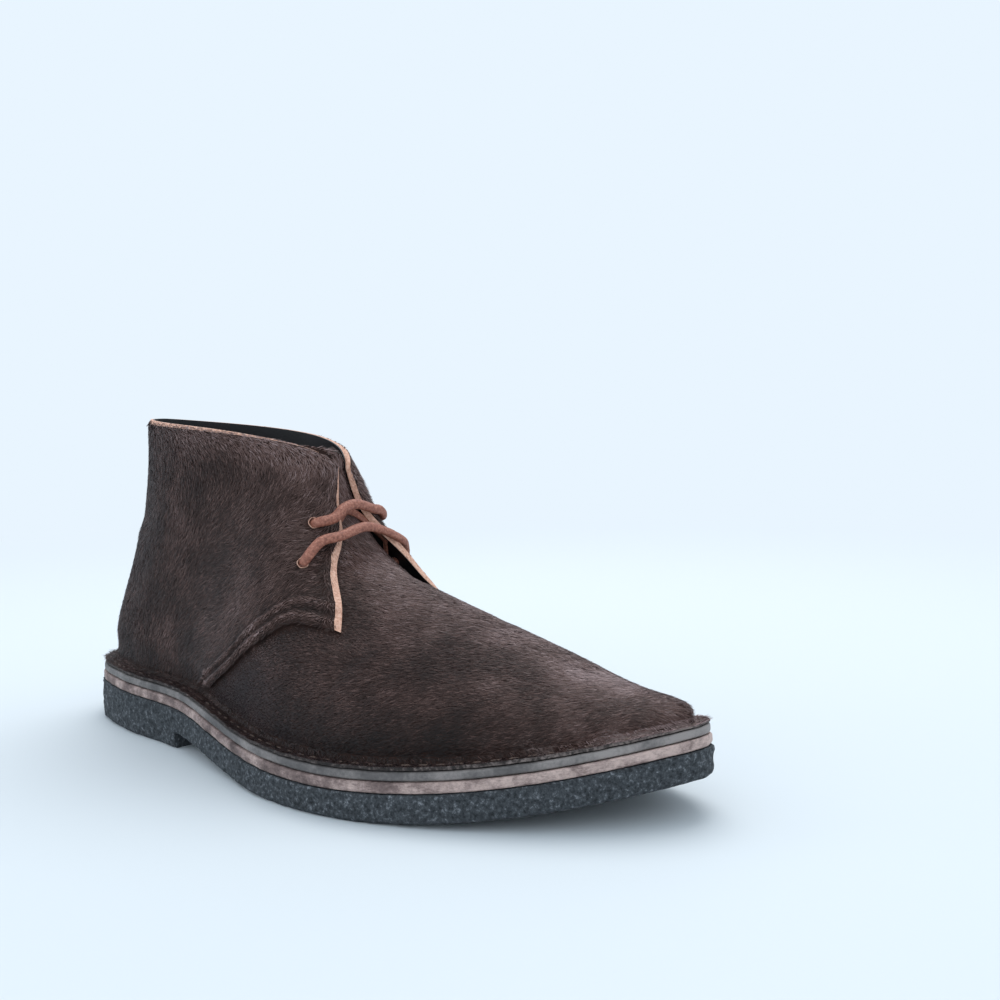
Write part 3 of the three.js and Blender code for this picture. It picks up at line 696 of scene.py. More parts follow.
# Soft troughs where the foot bends the vamp and the ankle folds the quarters: where each one starts
# and ends on the wall, how wide it is and how deep, in millimetres
creases = [
    {"side": -1, "from": (0.66, 0.30), "to": (0.69, 0.86), "width": 9, "deep": 0.55},
    {"side": -1, "from": (0.60, 0.22), "to": (0.63, 0.50), "width": 8, "deep": 0.45},
    {"side": 1, "from": (0.66, 0.30), "to": (0.70, 0.86), "width": 9, "deep": 0.55},
    {"side": -1, "from": (0.22, 0.62), "to": (0.40, 0.50), "width": 12, "deep": 0.7},
    {"side": -1, "from": (0.30, 0.30), "to": (0.42, 0.40), "width": 10, "deep": 0.5},
    {"side": 1, "from": (0.20, 0.60), "to": (0.38, 0.50), "width": 12, "deep": 0.8},
    {"side": 1, "from": (0.44, 0.50), "to": (0.52, 0.74), "width": 8, "deep": 0.6},
]


def crease_depth(side, points):
    """How far the creases draw the wall in at each point."""
    depth = np.zeros(points.shape[:-1])
    for crease in creases:
        if crease["side"] != side:
            continue
        a, b = (last_point(side, *crease[end]) for end in ("from", "to"))
        k = np.clip(((points - a) @ (b - a)) / ((b - a) @ (b - a)), 0, 1)
        away = np.linalg.norm(points - (a + k[..., None] * (b - a)), axis=-1)
        fading = np.sin(np.pi * (0.1 + 0.8 * k))
        depth += crease["deep"] * np.exp(-(away / crease["width"] * 2) ** 2) * fading
    return depth


def grid_ways(points):
    """The directions in which a grid's rows and columns run."""
    return unit(np.gradient(points, axis=0)), unit(np.gradient(points, axis=1))


def skin(grids):
    """Joins grids of points and their fields into one surface. Grids run toeward, then up the wall."""
    points = np.vstack([g["points"].reshape(-1, 3) for g in grids])
    starts = np.cumsum([0] + [g["points"].shape[0] * g["points"].shape[1] for g in grids])
    quads = []
    for g, start in zip(grids, starts):
        faces = grid_quads(*g["points"].shape[:2], start)
        quads.append(faces[:, ::-1] if g["side"] < 0 else faces)
    points, quads, number, first = weld(points, np.vstack(quads))
    fields = {}
    for name in grids[0]["fields"]:
        stacked = np.concatenate([g["fields"][name].reshape(g["points"][..., 0].size, -1) for g in grids])
        fields[name] = stacked[first]
    return {"points": points, "quads": quads, "normals": normals_of(points, quads), "fields": fields}


def offset(surface, amount):
    return surface["points"] + surface["normals"] * np.reshape(amount, (-1, 1))


def shell(surface, outer, inner, raw, rim, rim_steps=3):
    """A closed sheet between two offsets of a surface, with its faces' materials from its points' own."""
    count = len(surface["points"])
    quads = surface["quads"]
    outside = offset(surface, outer)
    inside = offset(surface, inner)
    edges = set()
    for face in quads.tolist():
        face = list(dict.fromkeys(face))
        if len(face) > 2:
            edges.update(zip(face, face[1:] + face[:1]))
    border = sorted((a, b) for a, b in edges if (b, a) not in edges)
    points = [outside, inside]
    between = {}
    number = 2 * count
    for a in sorted({a for edge in border for a in edge}):
        between[a] = [a] + [number + n for n in range(rim_steps - 1)] + [a + count]
        number += rim_steps - 1
        shares = (np.arange(rim_steps - 1)[:, None] + 1) / rim_steps
        points.append(mix(outside[a], inside[a], shares))
    faces = [quads, quads[:, ::-1] + count]
    band = [[between[b][n], between[a][n], between[a][n + 1], between[b][n + 1]]
            for a, b in border for n in range(rim_steps)]
    faces.append(np.array(band))
    rim_marks = [rim[a] if rim[a] == rim[b] != 1 else (1 if n < rim_steps - 1 else 2)
                 for a, b in border for n in range(rim_steps)]
    marks = np.concatenate([raw[quads].mean(axis=1) > 0.6, np.full(len(quads), 2), rim_marks])
    return np.vstack(points), np.vstack(faces), marks


# Under the hair the hide is dark brown skin. Its cut edges are pale raw fibre, worn dark round the
# flange, and its back is faced with thin lining leather, which shows as a dark line along the edges.
hide_colours = ("#170e0b", "#35241f", "#83736f")
raw_colours = ("#9c6d5c", "#d3a48d", "#ecc9b5")
worn_colours = ("#161110", "#2e2624", "#766a66")
raw_fibre = 0.5
hide_skin, tree, shader, where = new_material("hide_under_hair")
cloud = grain(tree, where, 6, 4.0)
value = weigh(tree, cloud, 1.0, paler_at_toe(tree, where, 0.35))
dress(tree, shader, ramp(tree, value, (0.3, 0.68, 0.9), hide_colours), cloud, 0.4, 0.3, 0.8)
shader.inputs["Specular IOR Level"].default_value = 0.15
raw_edge, tree, shader, where = new_material("hide_raw_cut_edge")
fibre = grain(tree, where, raw_fibre * 2, 5.0, 0.7)
dress(tree, shader, ramp(tree, fibre, (0.3, 0.5, 0.72), raw_colours), fibre, 0.6, 0.3, 0.85)
worn_edge, tree, shader, where = new_material("hide_edge_worn_dark")
fibre = grain(tree, where, raw_fibre * 3, 5.0, 0.7)
value = weigh(tree, fibre, 1.0, paler_at_toe(tree, where, 0.14))
dress(tree, shader, ramp(tree, value, (0.35, 0.52, 0.7), worn_colours), fibre, 0.8, 0.4, 0.8)
hide_materials = [hide_skin, raw_edge, lining_leather, worn_edge]

throat_rises = np.linspace(throat_low, 1, 20)
edge_rises = np.concatenate([np.linspace(-2, -1, 6)[:-1], np.linspace(-1, 0, 5)[:-1]])
wall_rises = np.linspace(0, throat_low, 34)
vamp_rises = np.concatenate([edge_rises, wall_rises[:-1], throat_rises])
vamp_shares = np.linspace(0, 1, 110)
tongue_drop = quarter_step - wall - tongue_gap


def edge_press(at, rise):
    """How far the flange's outer edge is pressed thin, most of all at the toe."""
    return mix(1.2, 1.8, ease(0.85, 1, at)) * ease(-0.6, -1, rise)


def wall_fields(side, points, at, rise, drop):
    """What a grid of the vamp carries: its drop under the facings, hair's direction, cover, length and tone,
    with painted sheen and shade.
    """
    toeward, upward = grid_ways(points)
    s = station(side, at)
    heel_low = ease(0.82, 0.6, at) * ease(0.6, 0.1, rise)
    climbing = (0.3 + 0.55 * heel_low if side < 0 else -0.3) + 0.22 * wander(points, 30, 47.1)
    climbing = mix(climbing, -0.9, ease(0.88, 1, at) * ease(0.9, 0.4, rise))
    flow = toeward + upward * climbing[..., None]
    flow = mix(s["out"], flow, ease(-0.6, 0.15, rise)[..., None])
    climb = np.clip((rise - corner_rise(side)) / (1 - corner_rise(side)), 0, 1)
    hidden = np.where(rise < corner_rise(side), seam_at(side, np.maximum(rise, 0)) + 0.004,
                      facing_at(side, climb) - 0.012)
    cover = np.where(at > hidden, 1.0, 0.0) * ease(-1.0, -0.2, rise)
    crease = crease_depth(side, points) * ease(0, 0.15, rise)
    press = edge_press(at, rise)
    clear = ease(hidden, hidden + 0.04, at)
    toe = ease(0.74, 0.9, at)
    # Hair tone: painted sheen towards the ridge, painted shade in the creases, darker near the flange, paler
    # at the toe
    tone_and_painted_light = 0.26 * ease(0.6, 0.95, rise) - 0.2 * ease(0.5, 0.05, rise) * (1 - toe) + 0.14 * toe
    tone_and_painted_light = tone_and_painted_light - 0.25 * crease + 0.09 * wander(points, 22, 8.8)
    tone_and_painted_light = tone_and_painted_light + 0.3 * ease(0.88, 0.97, at) * ease(0.05, -0.5, rise)
    return {"outer": drop - crease - press, "press": press, "flow": flow, "cover": cover, "tone_and_painted_light": tone_and_painted_light,
            "long": mix(0.8, 1.0, ease(0, 0.3, rise)) * mix(0.35, 1.0, clear)}


def ragged(side, at, rise, points):
    """The points with the flange's cut edge moved in and out, as a hand cuts it."""
    amount = ragged_deep * wander(points, 5, 3.7) * ease(-1.2, -2, rise)
    return points + station(side, at)["out"] * amount[..., None]


vamp_grids = []
for side in (-1, 1):
    rise = vamp_rises[None, :]
    at = mix(vamp_rear(side, rise), 1, vamp_shares[:, None])
    rise = np.broadcast_to(rise, at.shape)
    points = last_point(side, at, rise)
    points = ragged(side, at, rise, points)
    behind = ease(corner_at(side) - vamp_overlap + throat_blend, corner_at(side) - vamp_overlap, at)
    drop = tongue_drop * behind * ease(throat_low, tongue_full, rise)
    vamp_grids.append({"side": side, "points": points,
                       "fields": wall_fields(side, points, at, rise, drop)})
for side in (-1, 1):
    joined = (front_at - tongue_start) / (ridge_rear - tongue_start)
    shares = np.concatenate([np.linspace(0, joined, 14)[:-1], np.linspace(joined, 1, 16)])[:, None]
    low = mix(0.95, throat_low, ease(0, 0.85, shares))
    rise = mix(low, 1, np.linspace(0, 1, 20)[None, :])
    rear = vamp_rear(side, throat_rises)
    at = mix(tongue_start, rear[None, :], shares)
    points = last_point(side, at, rise)
    crown = tongue_rise * ease(tongue_start, front_at, at) * (at <= front_at) * ease(0.8, 1, rise)
    points[..., 2] += crown
    drop = tongue_drop * mix(ease(throat_low, tongue_full, rise), 1, ease(1, 0.7, shares))
    vamp_grids.append({"side": side, "points": points,
                       "fields": wall_fields(side, points, at, rise, drop)})
for side in (-1, 1):
    rise = np.concatenate([edge_rises, wall_rises[:8]])[None, :]
    at = np.linspace(0, 1, 70)[:, None] * vamp_rear(side, rise)
    rise = np.broadcast_to(rise, at.shape)
    points = last_point(side, at, rise)
    points = ragged(side, at, rise, points)
    vamp_grids.append({"side": side, "points": points,
                       "fields": wall_fields(side, points, at, rise, np.zeros(at.shape))})
vamp = skin(vamp_grids)
vamp_outer = vamp["fields"]["outer"][:, 0]
vamp_rim = np.where(vamp["points"][:, 2] < flange_top(vamp["points"][:, 0]) + edge_round, 3, 0)
vamp_inner = vamp_outer + vamp["fields"]["press"][:, 0] - hide_thickness
points, quads, marks = shell(vamp, vamp_outer, vamp_inner, 0 * vamp_outer, vamp_rim)
make_piece("vamp_and_tongue", points, quads, hide_materials, ["upper", "tongue"], marks)

# The quarters: two pieces of the same hide round the heel, sewn over the vamp with a doubled edge
# that shows as two soft ridges. Their facings and topline are cut and left raw, and the inner facing
# stands off the vamp.
facing_flare = {-1: 1.6, 1: 4.0}
flare_start = {-1: (0, 0.3), 1: (-0.2, 0.2)}
band_ridge = 1.1
band_width = 8.4
lap_width = 10
cut_width = {-1: 2.2, 1: 0.9}
cut_slants = np.array([0.25, 0.5, 0.75, 1])[:, None]
top_cut = 0.9
strip_rows = 14
back_seam_width = 1.3
back_seam_deep = 0.7


def quarter_place(side, around, climb):
    """Where on the last a quarter's place is: around from heel to facing, climb from lower edge to top."""
    low_at = around * corner_at(side)
    seam_rise = np.where(low_at <= seam[side]["at"][0], 0, read(seam[side], "at", "rise", low_at))
    low = np.maximum(0.02, seam_rise)
    return low_at, low, around * facing_at(side, climb), mix(low, 1, climb)


def quarter_point(side, around, climb):
    """A place on a quarter, how far out its outside and back lie, its band's cover and ridges."""
    around, climb = np.broadcast_arrays(np.asarray(around, float), np.asarray(climb, float))
    low_at, low, at, rise = quarter_place(side, around, climb)
    points = last_point(side, at, rise)
    flare = facing_flare[side] * ease(0.78, 1, around)
    flare = flare * ease(*flare_start[side], climb) * ease(0.85, 0.45, climb)
    start = seam[side]["at"][0]
    steep = seam[side]["rise"][1] / (seam[side]["at"][1] - start)
    above = (rise - np.where(low_at < start, steep * (low_at - start), low)) * station(side, at)["chord"]
    on_seam = ease(seam[side]["at"][0] - 0.03, seam[side]["at"][0] + 0.03, low_at)
    wave = np.where(above < band_width, (1 - np.cos(4 * np.pi * above / band_width)) / 2, 0)
    lifted = mix(ease(0.02, 0.12, rise), 1, on_seam)
    outer = quarter_step * lifted + band_ridge * wave + flare
    lap = on_seam * ease(lap_width + 3, lap_width - 3, above)
    back = mix(mix(0.05, quarter_step, lifted) - hide_thickness, 0.05, lap) + flare
    band = ease(band_width + 0.6, band_width - 0.6, above)
    return points, outer, back, band, wave


eyelet_setback = 15
lace_rows = {
    "lower": {-1: {"eyelet": 0.35, "edge": 0.7}, 1: {"eyelet": 0.37, "edge": 0.57}},
    "upper": {-1: {"eyelet": 0.61, "edge": 0.88}, 1: {"eyelet": 0.58, "edge": 0.77}},
}


def eyelet(side, climb):
    """An eyelet's place on the last, the way out of the wall, how far out the hide lies, and around."""
    edge, back = (quarter_point(side, around, climb)[0] for around in (1, 0.9))
    around = 1 - 0.1 * eyelet_setback / np.linalg.norm(edge - back)
    place, outer = quarter_point(side, around, climb)[:2]
    forward = quarter_point(side, around + 0.01, climb)[0] - place
    upward = quarter_point(side, around, climb + 0.01)[0] - place
    return place, unit(np.cross(forward, upward) * -side), float(outer), around


def cut_holes(target, cutter):
    """Cuts the cutter's shape out of a piece and puts the cut mesh in its place."""
    modifier = target.modifiers.new("cut", "BOOLEAN")
    modifier.operation = "DIFFERENCE"
    modifier.solver = "EXACT"
    modifier.object = cutter
    modifier.material_mode = "TRANSFER"
    evaluated = target.evaluated_get(bpy.context.evaluated_depsgraph_get())
    cut = bpy.data.meshes.new_from_object(evaluated)
    target.modifiers.remove(modifier)
    target.data = cut


def rod(start, stop, radius, sides=28):
    """A closed round rod between two places."""
    way = unit(stop - start)
    one = unit(np.cross(way, [0.3, 0.5, 0.81]))
    two = np.cross(way, one)
    turn = np.linspace(0, 2 * np.pi, sides, endpoint=False)[:, None]
    ring = radius * (np.cos(turn) * one + np.sin(turn) * two)
    points = np.vstack([start + ring, stop + ring, start[None], stop[None]])
    i = np.arange(sides)
    k = (i + 1) % sides
    walls_of_rod = np.column_stack([i, k, k + sides, i + sides])
    middles = np.full(sides, 2 * sides)
    low = np.column_stack([i, middles, k, k])
    high = np.column_stack([i + sides, k + sides, middles + 1, middles + 1])
    return points, np.vstack([walls_of_rod, low, high])


eyelet_hole = 4
quarter_skins = {}
for side in (-1, 1):
    around = np.concatenate([np.linspace(0, 0.06, 10)[:-1], np.linspace(0.06, 0.94, 78)[:-1],
                             np.linspace(0.94, 1, strip_rows)])[:, None]
    low_at, low, _, _ = quarter_place(side, around, 0)
    height = station(side, low_at)["chord"] * (1 - low)
    band_climbs = np.linspace(0, band_width, 15)[None, :] / height
    upper_shares = np.concatenate([np.linspace(0, 0.94, 50)[1:],
                                   1 - 0.06 * np.linspace(1, 0, 8)[1:] ** 1.3])
    climb = np.hstack([band_climbs, mix(band_climbs[:, -1:], 1, upper_shares[None, :])])
    around = np.broadcast_to(around, climb.shape).copy()
    edge, inland = (quarter_point(side, place, climb[-1])[0] for place in (1, 0.95))
    span = np.linalg.norm(edge - inland, axis=-1) / 0.05
    slope = np.linalg.norm(np.cross(unit(edge - inland), unit(np.gradient(edge, axis=0))), axis=-1)
    cut = cut_width[side] * (mix(1, 0.7, ease(0.8, 0.95, climb[-1])) + 0.15 * wander(edge, 5, 9.1))
    cut = np.minimum(cut / np.maximum(slope, 0.3), 0.05 * span)
    behind_cut = np.linspace(1, 0, strip_rows - len(cut_slants))[:, None] ** 1.6
    setback = np.vstack([mix(cut, 0.06 * span, behind_cut), cut * (1 - cut_slants)])
    around[-strip_rows:] = 1 - setback / span
    slant = np.zeros(climb.shape)
    slant[-len(cut_slants):] = cut_slants
    top_slant = np.zeros(climb.shape)
    top_slant[:, -2:] = (0.6, 1)
    raw = np.zeros(climb.shape)
    raw[-len(cut_slants) - 1:] = 1
    raw[:, -3:] = 1
    points, outer, back, band, wave = quarter_point(side, around, climb)
    toeward, upward = grid_ways(points)
    heel_away = np.abs(points[..., 1]) + 50 * ease(0.05, 0.1, around)
    outer = outer - back_seam_deep * np.exp(-(heel_away / back_seam_width) ** 2)
    outer = outer - crease_depth(side, points) * ease(0, 0.1, climb)
    outer = outer + 0.25 * wander(points, 30, 5.2) * ease(1, 0.9, climb) * ease(0, 0.15, climb)
    steps = np.linalg.norm(np.diff(points, axis=0), axis=-1)[::-1]
    from_front = np.vstack([np.cumsum(steps, axis=0)[::-1], np.zeros((1, points.shape[1]))])
    steps = np.linalg.norm(np.diff(points, axis=1), axis=-1)[:, ::-1]
    from_top = np.hstack([np.cumsum(steps, axis=1)[:, ::-1], np.zeros((points.shape[0], 1))])
    rounding = mix(outer - back - 0.5, top_cut, ease(0.86, 0.94, climb)) * slant
    rounding = rounding + top_cut * top_slant * (1 - slant)
    swept = ease(0.4, 0.75, around) * ease(0.75, 0.4, climb)
    along = mix(-0.3, -1.0, swept) + 0.25 * wander(points, 34, 21.9)
    down = mix(0.9, 0.5, swept) + 0.22 * wander(points, 26, 71.4)
    by_edge = ease(0.955, 0.98, around)
    along = mix(mix(along, -1, band), 0.1, by_edge)
    flow = toeward * along[..., None] - upward * mix(down, 0.25, band * (1 - by_edge))[..., None]
    from_edge = np.minimum(from_front - cut, from_top - top_cut)
    cover = ease(-0.2, 0.5, from_edge) * mix(1, mix(0.6, 1.0, wave), band)
    # Hair tone: painted highlight under the topline and on the band's ridges, painted shade in its grooves
    painted_topline_highlight = ease(16, 0, (1 - climb) * height) * ease(0.15, 0.6, around)
    tone_and_painted_light = 0.26 * painted_topline_highlight - 0.1 * ease(0.5, 0.2, around) + band * (0.34 * wave - 0.16) - 0.04
    tone_and_painted_light = tone_and_painted_light + 0.09 * wander(points, 20, 3.3) + 0.1 * ease(0.5, 0.8, around)
    tone_and_painted_light = tone_and_painted_light - 0.12 * ease(18, 0, climb * height) * (1 - band)
    for row in lace_rows.values():
        from_hole = np.linalg.norm(points - eyelet(side, row[side]["eyelet"])[0], axis=-1) - eyelet_hole / 2
        cover = cover * ease(0.2, 1.4, from_hole)
    fields = {"outer": outer - rounding, "back": back, "flow": flow, "cover": cover, "tone_and_painted_light": tone_and_painted_light,
              "raw": raw, "rim": np.where(climb == 0, 0.0, 1.0),
              "long": mix(0.6, 1.0, ease(0, 8, from_edge)) * mix(1, 0.6, band)}
    quarter_skins[side] = skin([{"side": side, "points": points, "fields": fields}])
for side, word in ((-1, "lateral"), (1, "medial")):
    surface = quarter_skins[side]
    outer, back = (surface["fields"][name][:, 0] for name in ("outer", "back"))
    raw, rim = (surface["fields"][name][:, 0] for name in ("raw", "rim"))
    points, quads, marks = shell(surface, outer, back, raw, rim)
    hide = make_piece(f"quarter_{word}", points, quads, hide_materials, [], marks)
    rods = []
    for row in lace_rows.values():
        place, out, far_out, _ = eyelet(side, row[side]["eyelet"])
        rods.append(rod(place - 5 * out, place + (far_out + 3) * out, eyelet_hole / 2))
    rod_points = np.vstack([rods[0][0], rods[1][0]])
    rod_quads = np.vstack([rods[0][1], rods[1][1] + len(rods[0][0])])
    mesh = bpy.data.meshes.new("punch")
    faces = [tuple(dict.fromkeys(q)) for q in rod_quads.tolist()]
    mesh.from_pydata(((rod_points + to_frame) * 0.001).tolist(), [], faces)
    mesh.materials.append(raw_edge)
    punch = bpy.data.objects.new("punch", mesh)
    bpy.context.collection.objects.link(punch)
    bpy.context.view_layer.update()
    cut_holes(hide, punch)
    bpy.data.objects.remove(punch)

# The hair: short, straight and lying flat, dark brown with a grey shine, which is partly the shader's sheen
# and partly painted highlight along the vamp's ridge and under the topline. It runs to the toe over the
# ridge, down the vamp's sides, and down and back on the quarters. Each hair is a blade of two faces,
# wider than a real hair, so that it shows.
hair_length = 3.4
hair_width = 0.21
hair_lift = 0.35
hairs = {"hair_vamp_lateral": 62000, "hair_vamp_medial": 50000, "hair_quarter_lateral": 62000,
         "hair_quarter_medial": 42000, "hair_flange": 18000}
swing = {"vamp": 0.3, "quarter": 0.4, "flange": 0.8}
hair_droop = -0.09
flange_droop = -0.3
hair_colours = ("#140a07", "#34211b", "#69504a", "#a08a88")
hair, tree, shader, where = new_material("hide_hair")
tint, tip, tone_and_painted_light = (add(tree, "ShaderNodeAttribute", {"attribute_name": name}).outputs["Fac"]
                   for name in ("tint", "tip", "tone_and_painted_light"))
few = add(tree, "ShaderNodeMath", {"operation": "POWER"}, {0: tint, 1: 4.0}).outputs[0]
# The tone attribute brings painted sheen and shade into the hair's colour, with random tone and the paler
# toe
value = weigh(tree, grain(tree, where, 16, 4.0, 0.6), 0.65, tone_and_painted_light)
value = weigh(tree, tip, 0.1, weigh(tree, few, 0.34, value))
tree.links.new(ramp(tree, value, (0.08, 0.38, 0.68, 0.93), hair_colours), shader.inputs["Base Color"])
hair_finish = {"Roughness": 0.5, "Specular IOR Level": 0.3, "Sheen Weight": 0.12, "Sheen Roughness": 0.4,
               "Sheen Tint": linear("#cfc4d6")}
for name, value in hair_finish.items():
    shader.inputs[name].default_value = value

blade_mesh = bpy.data.meshes.new("hair_blade")
blade_mesh.from_pydata([(0, -hair_width / 2000, -0.0001), (0, hair_width / 2000, -0.0001),
                        (hair_length * 0.0005, hair_width * 0.00042, hair_lift * 0.0006),
                        (hair_length * 0.0005, -hair_width * 0.00042, hair_lift * 0.0006),
                        (hair_length * 0.001, 0, hair_lift * 0.001)], [], [(0, 3, 2, 1), (3, 4, 2)])
tips = blade_mesh.attributes.new("tip", "FLOAT", "POINT")
tips.data.foreach_set("value", [0, 0, 0.5, 0.5, 1])
blade_mesh.shade_smooth()
blade = bpy.data.objects.new("hair_blade", blade_mesh)
bpy.context.collection.objects.link(blade)


def new_tree(name, inputs):
    """A Geometry Nodes tree with named inputs. Gives the tree and its input node."""
    group = bpy.data.node_groups.new(name, "GeometryNodeTree")
    group.interface.new_socket("Geometry", in_out="INPUT", socket_type="NodeSocketGeometry")
    for input_name, kind in inputs.items():
        group.interface.new_socket(input_name, in_out="INPUT", socket_type=kind)
    group.interface.new_socket("Geometry", in_out="OUTPUT", socket_type="NodeSocketGeometry")
    return group, group.nodes.new("NodeGroupInput")


fur, given = new_tree("hair_on_hide", {
    "Hairs per square metre": "NodeSocketFloat", "Swing": "NodeSocketFloat", "Lift": "NodeSocketFloat",
    "Hair": "NodeSocketObject", "Finish": "NodeSocketMaterial", "Seed": "NodeSocketInt"})
cover = add(fur, "GeometryNodeInputNamedAttribute", {"data_type": "FLOAT"}, {"Name": "cover"})
flow = add(fur, "GeometryNodeInputNamedAttribute", {"data_type": "FLOAT_VECTOR"}, {"Name": "flow"})
long = add(fur, "GeometryNodeInputNamedAttribute", {"data_type": "FLOAT"}, {"Name": "long"})
density = add(fur, "ShaderNodeMath", {"operation": "MULTIPLY"}, {
    0: cover.outputs[0], 1: given.outputs["Hairs per square metre"]})
roots = add(fur, "GeometryNodeDistributePointsOnFaces", {"distribute_method": "RANDOM"}, {
    "Mesh": given.outputs["Geometry"], "Density": density.outputs[0], "Seed": given.outputs["Seed"]})
stand = add(fur, "FunctionNodeAlignRotationToVector", {"axis": "Z"}, {"Vector": roots.outputs["Normal"]})
lie = add(fur, "FunctionNodeAlignRotationToVector", {"axis": "X", "pivot_axis": "Z"}, {
    "Rotation": stand.outputs[0], "Vector": flow.outputs[0]})
swing_low = add(fur, "ShaderNodeMath", {"operation": "MULTIPLY"}, {0: given.outputs["Swing"], 1: -1.0})
least = add(fur, "ShaderNodeCombineXYZ", {}, {
    "X": -0.5, "Y": given.outputs["Lift"], "Z": swing_low.outputs[0]})
most = add(fur, "ShaderNodeCombineXYZ", {}, {"X": 0.5, "Y": 0.03, "Z": given.outputs["Swing"]})
jitter = add(fur, "FunctionNodeRandomValue", {"data_type": "FLOAT_VECTOR"}, {
    0: least.outputs[0], 1: most.outputs[0], "Seed": 3})
turn = add(fur, "FunctionNodeEulerToRotation", {}, {0: jitter.outputs[0]})
aim = add(fur, "FunctionNodeRotateRotation", {"rotation_space": "LOCAL"}, {
    0: lie.outputs[0], 1: turn.outputs[0]})
size = add(fur, "FunctionNodeRandomValue", {"data_type": "FLOAT"}, {2: 0.55, 3: 1.25, "Seed": 5})
size = add(fur, "ShaderNodeMath", {"operation": "MULTIPLY"}, {0: size.outputs[1], 1: long.outputs[0]})
scale = add(fur, "ShaderNodeCombineXYZ", {}, {"X": size.outputs[0], "Y": 1.0, "Z": size.outputs[0]})
source = add(fur, "GeometryNodeObjectInfo", {}, {"Object": given.outputs["Hair"]})
placed = add(fur, "GeometryNodeInstanceOnPoints", {}, {
    "Points": roots.outputs["Points"], "Instance": source.outputs["Geometry"],
    "Rotation": aim.outputs[0], "Scale": scale.outputs[0]})
shade = add(fur, "FunctionNodeRandomValue", {"data_type": "FLOAT"}, {2: 0.0, 3: 1.0, "Seed": 9})
marked = add(fur, "GeometryNodeStoreNamedAttribute", {"data_type": "FLOAT", "domain": "INSTANCE"}, {
    "Geometry": placed.outputs[0], "Name": "tint", "Value": shade.outputs[1]})
real = add(fur, "GeometryNodeRealizeInstances", {}, {"Geometry": marked.outputs[0]})
finished = add(fur, "GeometryNodeSetMaterial", {}, {"Geometry": real.outputs[0],
                                                    "Material": given.outputs["Finish"]})
add(fur, "NodeGroupOutput", {}, {"Geometry": finished.outputs[0]})


def grow(name, base, group, values):
    """Runs a Geometry Nodes tree on a helper object and keeps the result as a plain piece."""
    modifier = base.modifiers.new("grow", "NODES")
    modifier.node_group = group
    for item in group.interface.items_tree:
        if item.in_out == "INPUT" and item.name in values:
            modifier[item.identifier] = values[item.name]
    base.update_tag()
    bpy.context.view_layer.update()
    evaluated = base.evaluated_get(bpy.context.evaluated_depsgraph_get())
    mesh = bpy.data.meshes.new_from_object(evaluated)
    bpy.data.objects.remove(base)
    made = bpy.data.objects.new(name, mesh)
    bpy.context.collection.objects.link(made)
    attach(made, "root")
    return made


def hair_base(surface, kept):
    """The outside of a surface as a helper with the fields which the hair follows, where it is kept."""
    mesh = bpy.data.meshes.new("hair_base")
    faces = [tuple(dict.fromkeys(q)) for q in surface["quads"].tolist()]
    points = (offset(surface, surface["fields"]["outer"]) + to_frame) * 0.001
    mesh.from_pydata(points.tolist(), [], [f for f in faces if len(f) > 2])
    for name in ("cover", "long", "tone_and_painted_light"):
        field = mesh.attributes.new(name, "FLOAT", "POINT")
        values = surface["fields"][name][:, 0] * (kept if name == "cover" else 1)
        field.data.foreach_set("value", values.astype(np.float32))
    field = mesh.attributes.new("flow", "FLOAT_VECTOR", "POINT")
    field.data.foreach_set("vector", unit(surface["fields"]["flow"]).astype(np.float32).ravel())
    base = bpy.data.objects.new("hair_base", mesh)
    bpy.context.collection.objects.link(base)
    return base


def hair_density(surface, count, kept):
    """Hairs per square metre that put about this many on a surface, by its cover where it is kept."""
    a, b, c, d = (surface["points"][surface["quads"][:, n]] for n in range(4))
    area = np.linalg.norm(np.cross(c - a, d - b), axis=1) / 2 * 1e-6
    cover_of = (surface["fields"]["cover"][:, 0] * kept)[surface["quads"]].mean(axis=1)
    return count / float((area * cover_of).sum())


def grow_hair(name, surface, kept, turn, droop, seed):
    """Grows the hair of a surface where it is kept, as a piece of the hide."""
    grow(name, hair_base(surface, kept), fur, {
        "Hairs per square metre": hair_density(surface, hairs[name], kept), "Swing": turn, "Lift": droop,
        "Hair": blade, "Finish": hair, "Seed": seed})


on_medial = ease(-2, 2, vamp["points"][:, 1] - np.interp(
    vamp["points"][:, 0], *ridge_point(np.linspace(0.45, 0.9, 60))[:, :2].T))
hair_sets = (
    ("hair_vamp_lateral", vamp, "vamp", 1 - on_medial),
    ("hair_vamp_medial", vamp, "vamp", on_medial),
    ("hair_quarter_lateral", quarter_skins[-1], "quarter", 1),
    ("hair_quarter_medial", quarter_skins[1], "quarter", 1),
)
for seed, (name, surface, kind, kept) in enumerate(hair_sets, 1):
    grow_hair(name, surface, kept, swing[kind], hair_droop, seed)

# The flange's hair: the same hair on the turned-out edge, trimmed short and pointing outwards, so
# that it hangs over the runner unevenly.
flange_grids = []
for side in (-1, 1):
    rise = np.linspace(-2, -0.2, 12)[None, :]
    at = np.linspace(0, 1, 160)[:, None]
    at, rise = np.broadcast_arrays(at, rise)
    points = last_point(side, at, rise)
    points = ragged(side, at, rise, points)
    toeward, _ = grid_ways(points)
    outward = station(side, at)["out"]
    flow_out = outward + toeward * (0.5 * wander(points, 9, 31.0))[..., None]
    flange_grids.append({"side": side, "points": points, "fields": {
        "flow": flow_out, "cover": mix(1.0, 0.35, ease(-1.7, -1.1, rise)),
        "long": (0.6 + 0.25 * wander(points, 6, 13.0)) * mix(0.6, 1, ease(0.9, 0.6, at)),
        "outer": -edge_press(at, rise), "tone_and_painted_light": mix(-0.1, 0.58, ease(0.78, 0.97, at))}})
flange = skin(flange_grids)
grow_hair("hair_flange", flange, 1, swing["flange"], flange_droop, 5)
bpy.data.objects.remove(blade)

